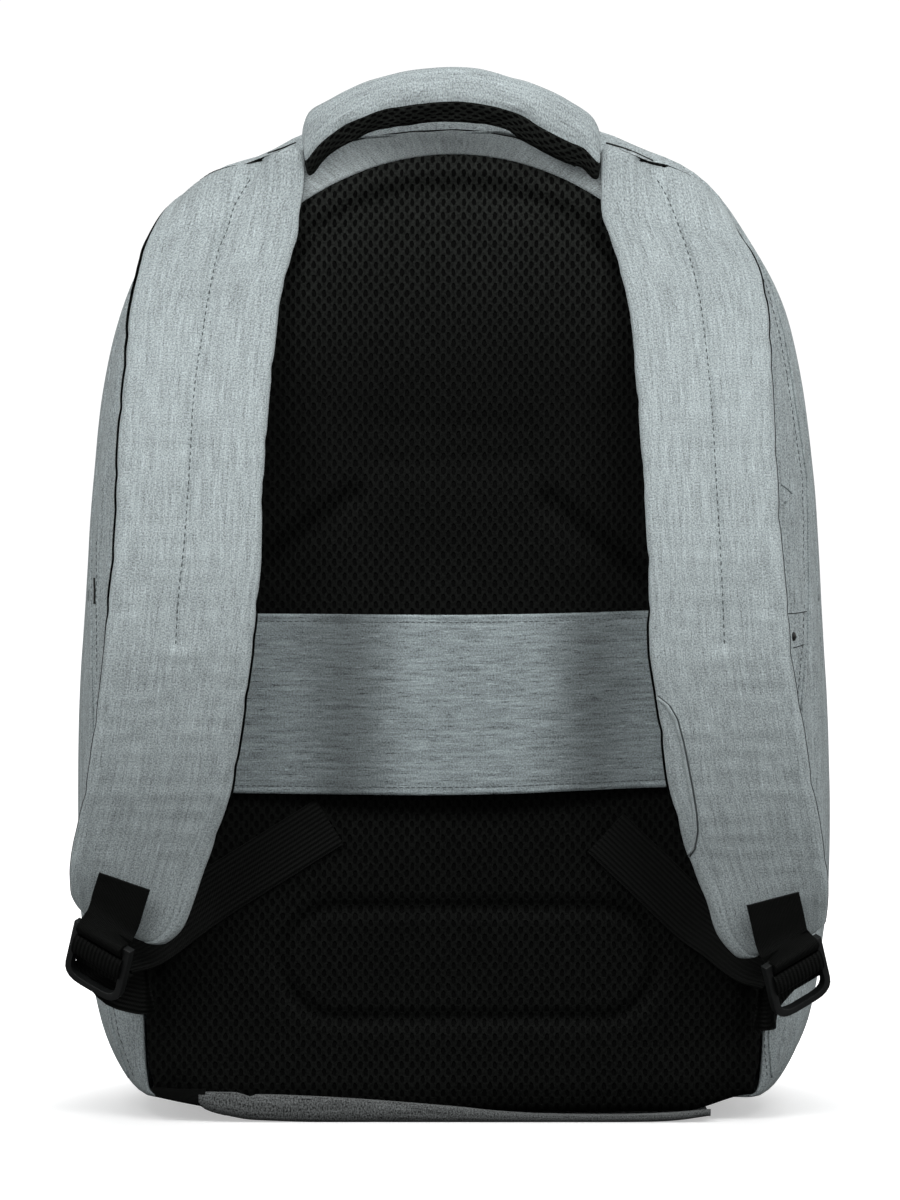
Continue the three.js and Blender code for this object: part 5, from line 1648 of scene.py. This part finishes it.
def make_stage():
    bm = bmesh.new()
    bmesh.ops.create_grid(bm, x_segments=1, y_segments=1, size=30.0)
    mesh = bpy.data.meshes.new("floor")
    bm.to_mesh(mesh)
    bm.free()
    floor = bpy.data.objects.new("floor", mesh)
    bpy.context.scene.collection.objects.link(floor)
    material = bpy.data.materials.new("pale floor")
    material.use_nodes = True
    tree = material.node_tree
    tree.nodes.clear()
    out = node(tree, "ShaderNodeOutputMaterial")
    dull = node(tree, "ShaderNodeBsdfDiffuse", {"Color": (0.1, 0.1, 0.1, 1)})
    matt = node(tree, "ShaderNodeBsdfDiffuse", {"Color": (0.8, 0.8, 0.8, 1)})
    spot = node(tree, "ShaderNodeTexCoord").outputs["Object"]
    far = node(tree, "ShaderNodeVectorMath", {0: spot}, operation="LENGTH").outputs["Value"]
    glow = maths(tree, "MULTIPLY_ADD", step_up(tree, far, 0.17, 0.27), 0.6, 0.42)
    bright = node(tree, "ShaderNodeEmission", {"Strength": glow})
    shown = node(tree, "ShaderNodeAddShader", {0: matt.outputs[0], 1: bright.outputs[0]})
    seen = node(tree, "ShaderNodeLightPath").outputs["Is Camera Ray"]
    both = node(tree, "ShaderNodeMixShader", {0: seen, 1: dull.outputs[0], 2: shown.outputs[0]})
    tree.links.new(both.outputs[0], out.inputs[0])
    mesh.materials.append(material)


def softbox(name, energy, size, spot, target):
    data = bpy.data.lights.new(name, "AREA")
    data.energy = energy
    data.shape = "RECTANGLE"
    data.size, data.size_y = size
    light = bpy.data.objects.new(name, data)
    bpy.context.scene.collection.objects.link(light)
    light.location = spot
    light.rotation_euler = (Vector(target) - Vector(spot)).to_track_quat("-Z", "Y").to_euler()


def make_light():
    world = bpy.data.worlds.new("studio")
    bpy.context.scene.world = world
    world.use_nodes = True
    tree = world.node_tree
    tree.nodes.clear()
    out = node(tree, "ShaderNodeOutputWorld")
    fill = node(tree, "ShaderNodeBackground", {"Color": (0.98, 0.99, 1.0, 1), "Strength": 0.2})
    white = node(tree, "ShaderNodeBackground", {"Color": (1, 1, 1, 1), "Strength": 1.05})
    seen = node(tree, "ShaderNodeLightPath").outputs["Is Camera Ray"]
    both = node(tree, "ShaderNodeMixShader", {0: seen, 1: fill.outputs[0], 2: white.outputs[0]})
    tree.links.new(both.outputs[0], out.inputs[0])
    softbox("key_left", 4.05, (0.45, 0.35), (-0.42, -0.8, 0.78), (0, 0, 0.37))
    softbox("key_right", 4.05, (0.45, 0.35), (0.42, -0.8, 0.78), (0, 0, 0.37))
    softbox("top", 5.0, (1.2, 0.6), (0.0, -0.35, 1.6), (0, 0, 0.4))
    softbox("front_fill", 5.0, (1.2, 1.0), (0.0, -2.6, 0.42), (0, 0, 0.34))
    softbox("side_left", 5.4, (0.6, 1.2), (-1.5, -0.4, 0.5), (0, 0, 0.22))
    softbox("side_right", 7.0, (0.6, 1.2), (1.5, -0.4, 0.6), (0, 0, 0.22))
    softbox("rear", 10.0, (1.4, 1.2), (0.3, 1.6, 1.5), (0, 0, 0.25))
    bpy.context.scene.view_settings.view_transform = "Standard"


def make_camera():
    data = bpy.data.cameras.new("camera")
    data.sensor_width = 36.0
    # The frame's long side is 570 mm on the back plane.
    data.lens = 36.0 * CAMERA_DISTANCE / 570.0
    data.clip_end = 100.0
    camera = bpy.data.objects.new("camera", data)
    bpy.context.scene.collection.objects.link(camera)
    camera.location = (CAMERA_X * MM, BACK - CAMERA_DISTANCE * MM, CAMERA_Z * MM)
    camera.rotation_euler = (math.pi / 2, 0, 0)
    bpy.context.scene.camera = camera


make_camera()
make_stage()
make_light()
body_trees = make_body()
make_main_zip()
make_side_piping()
make_side_seams(body_trees)
make_side_trims(body_trees)
make_back_panel()
make_yoke()
make_band()
make_base()
make_handle()
for side_name in ("left", "right"):
    Strap(side_name).make()
    make_strap_end(side_name)
    make_buckle(side_name)
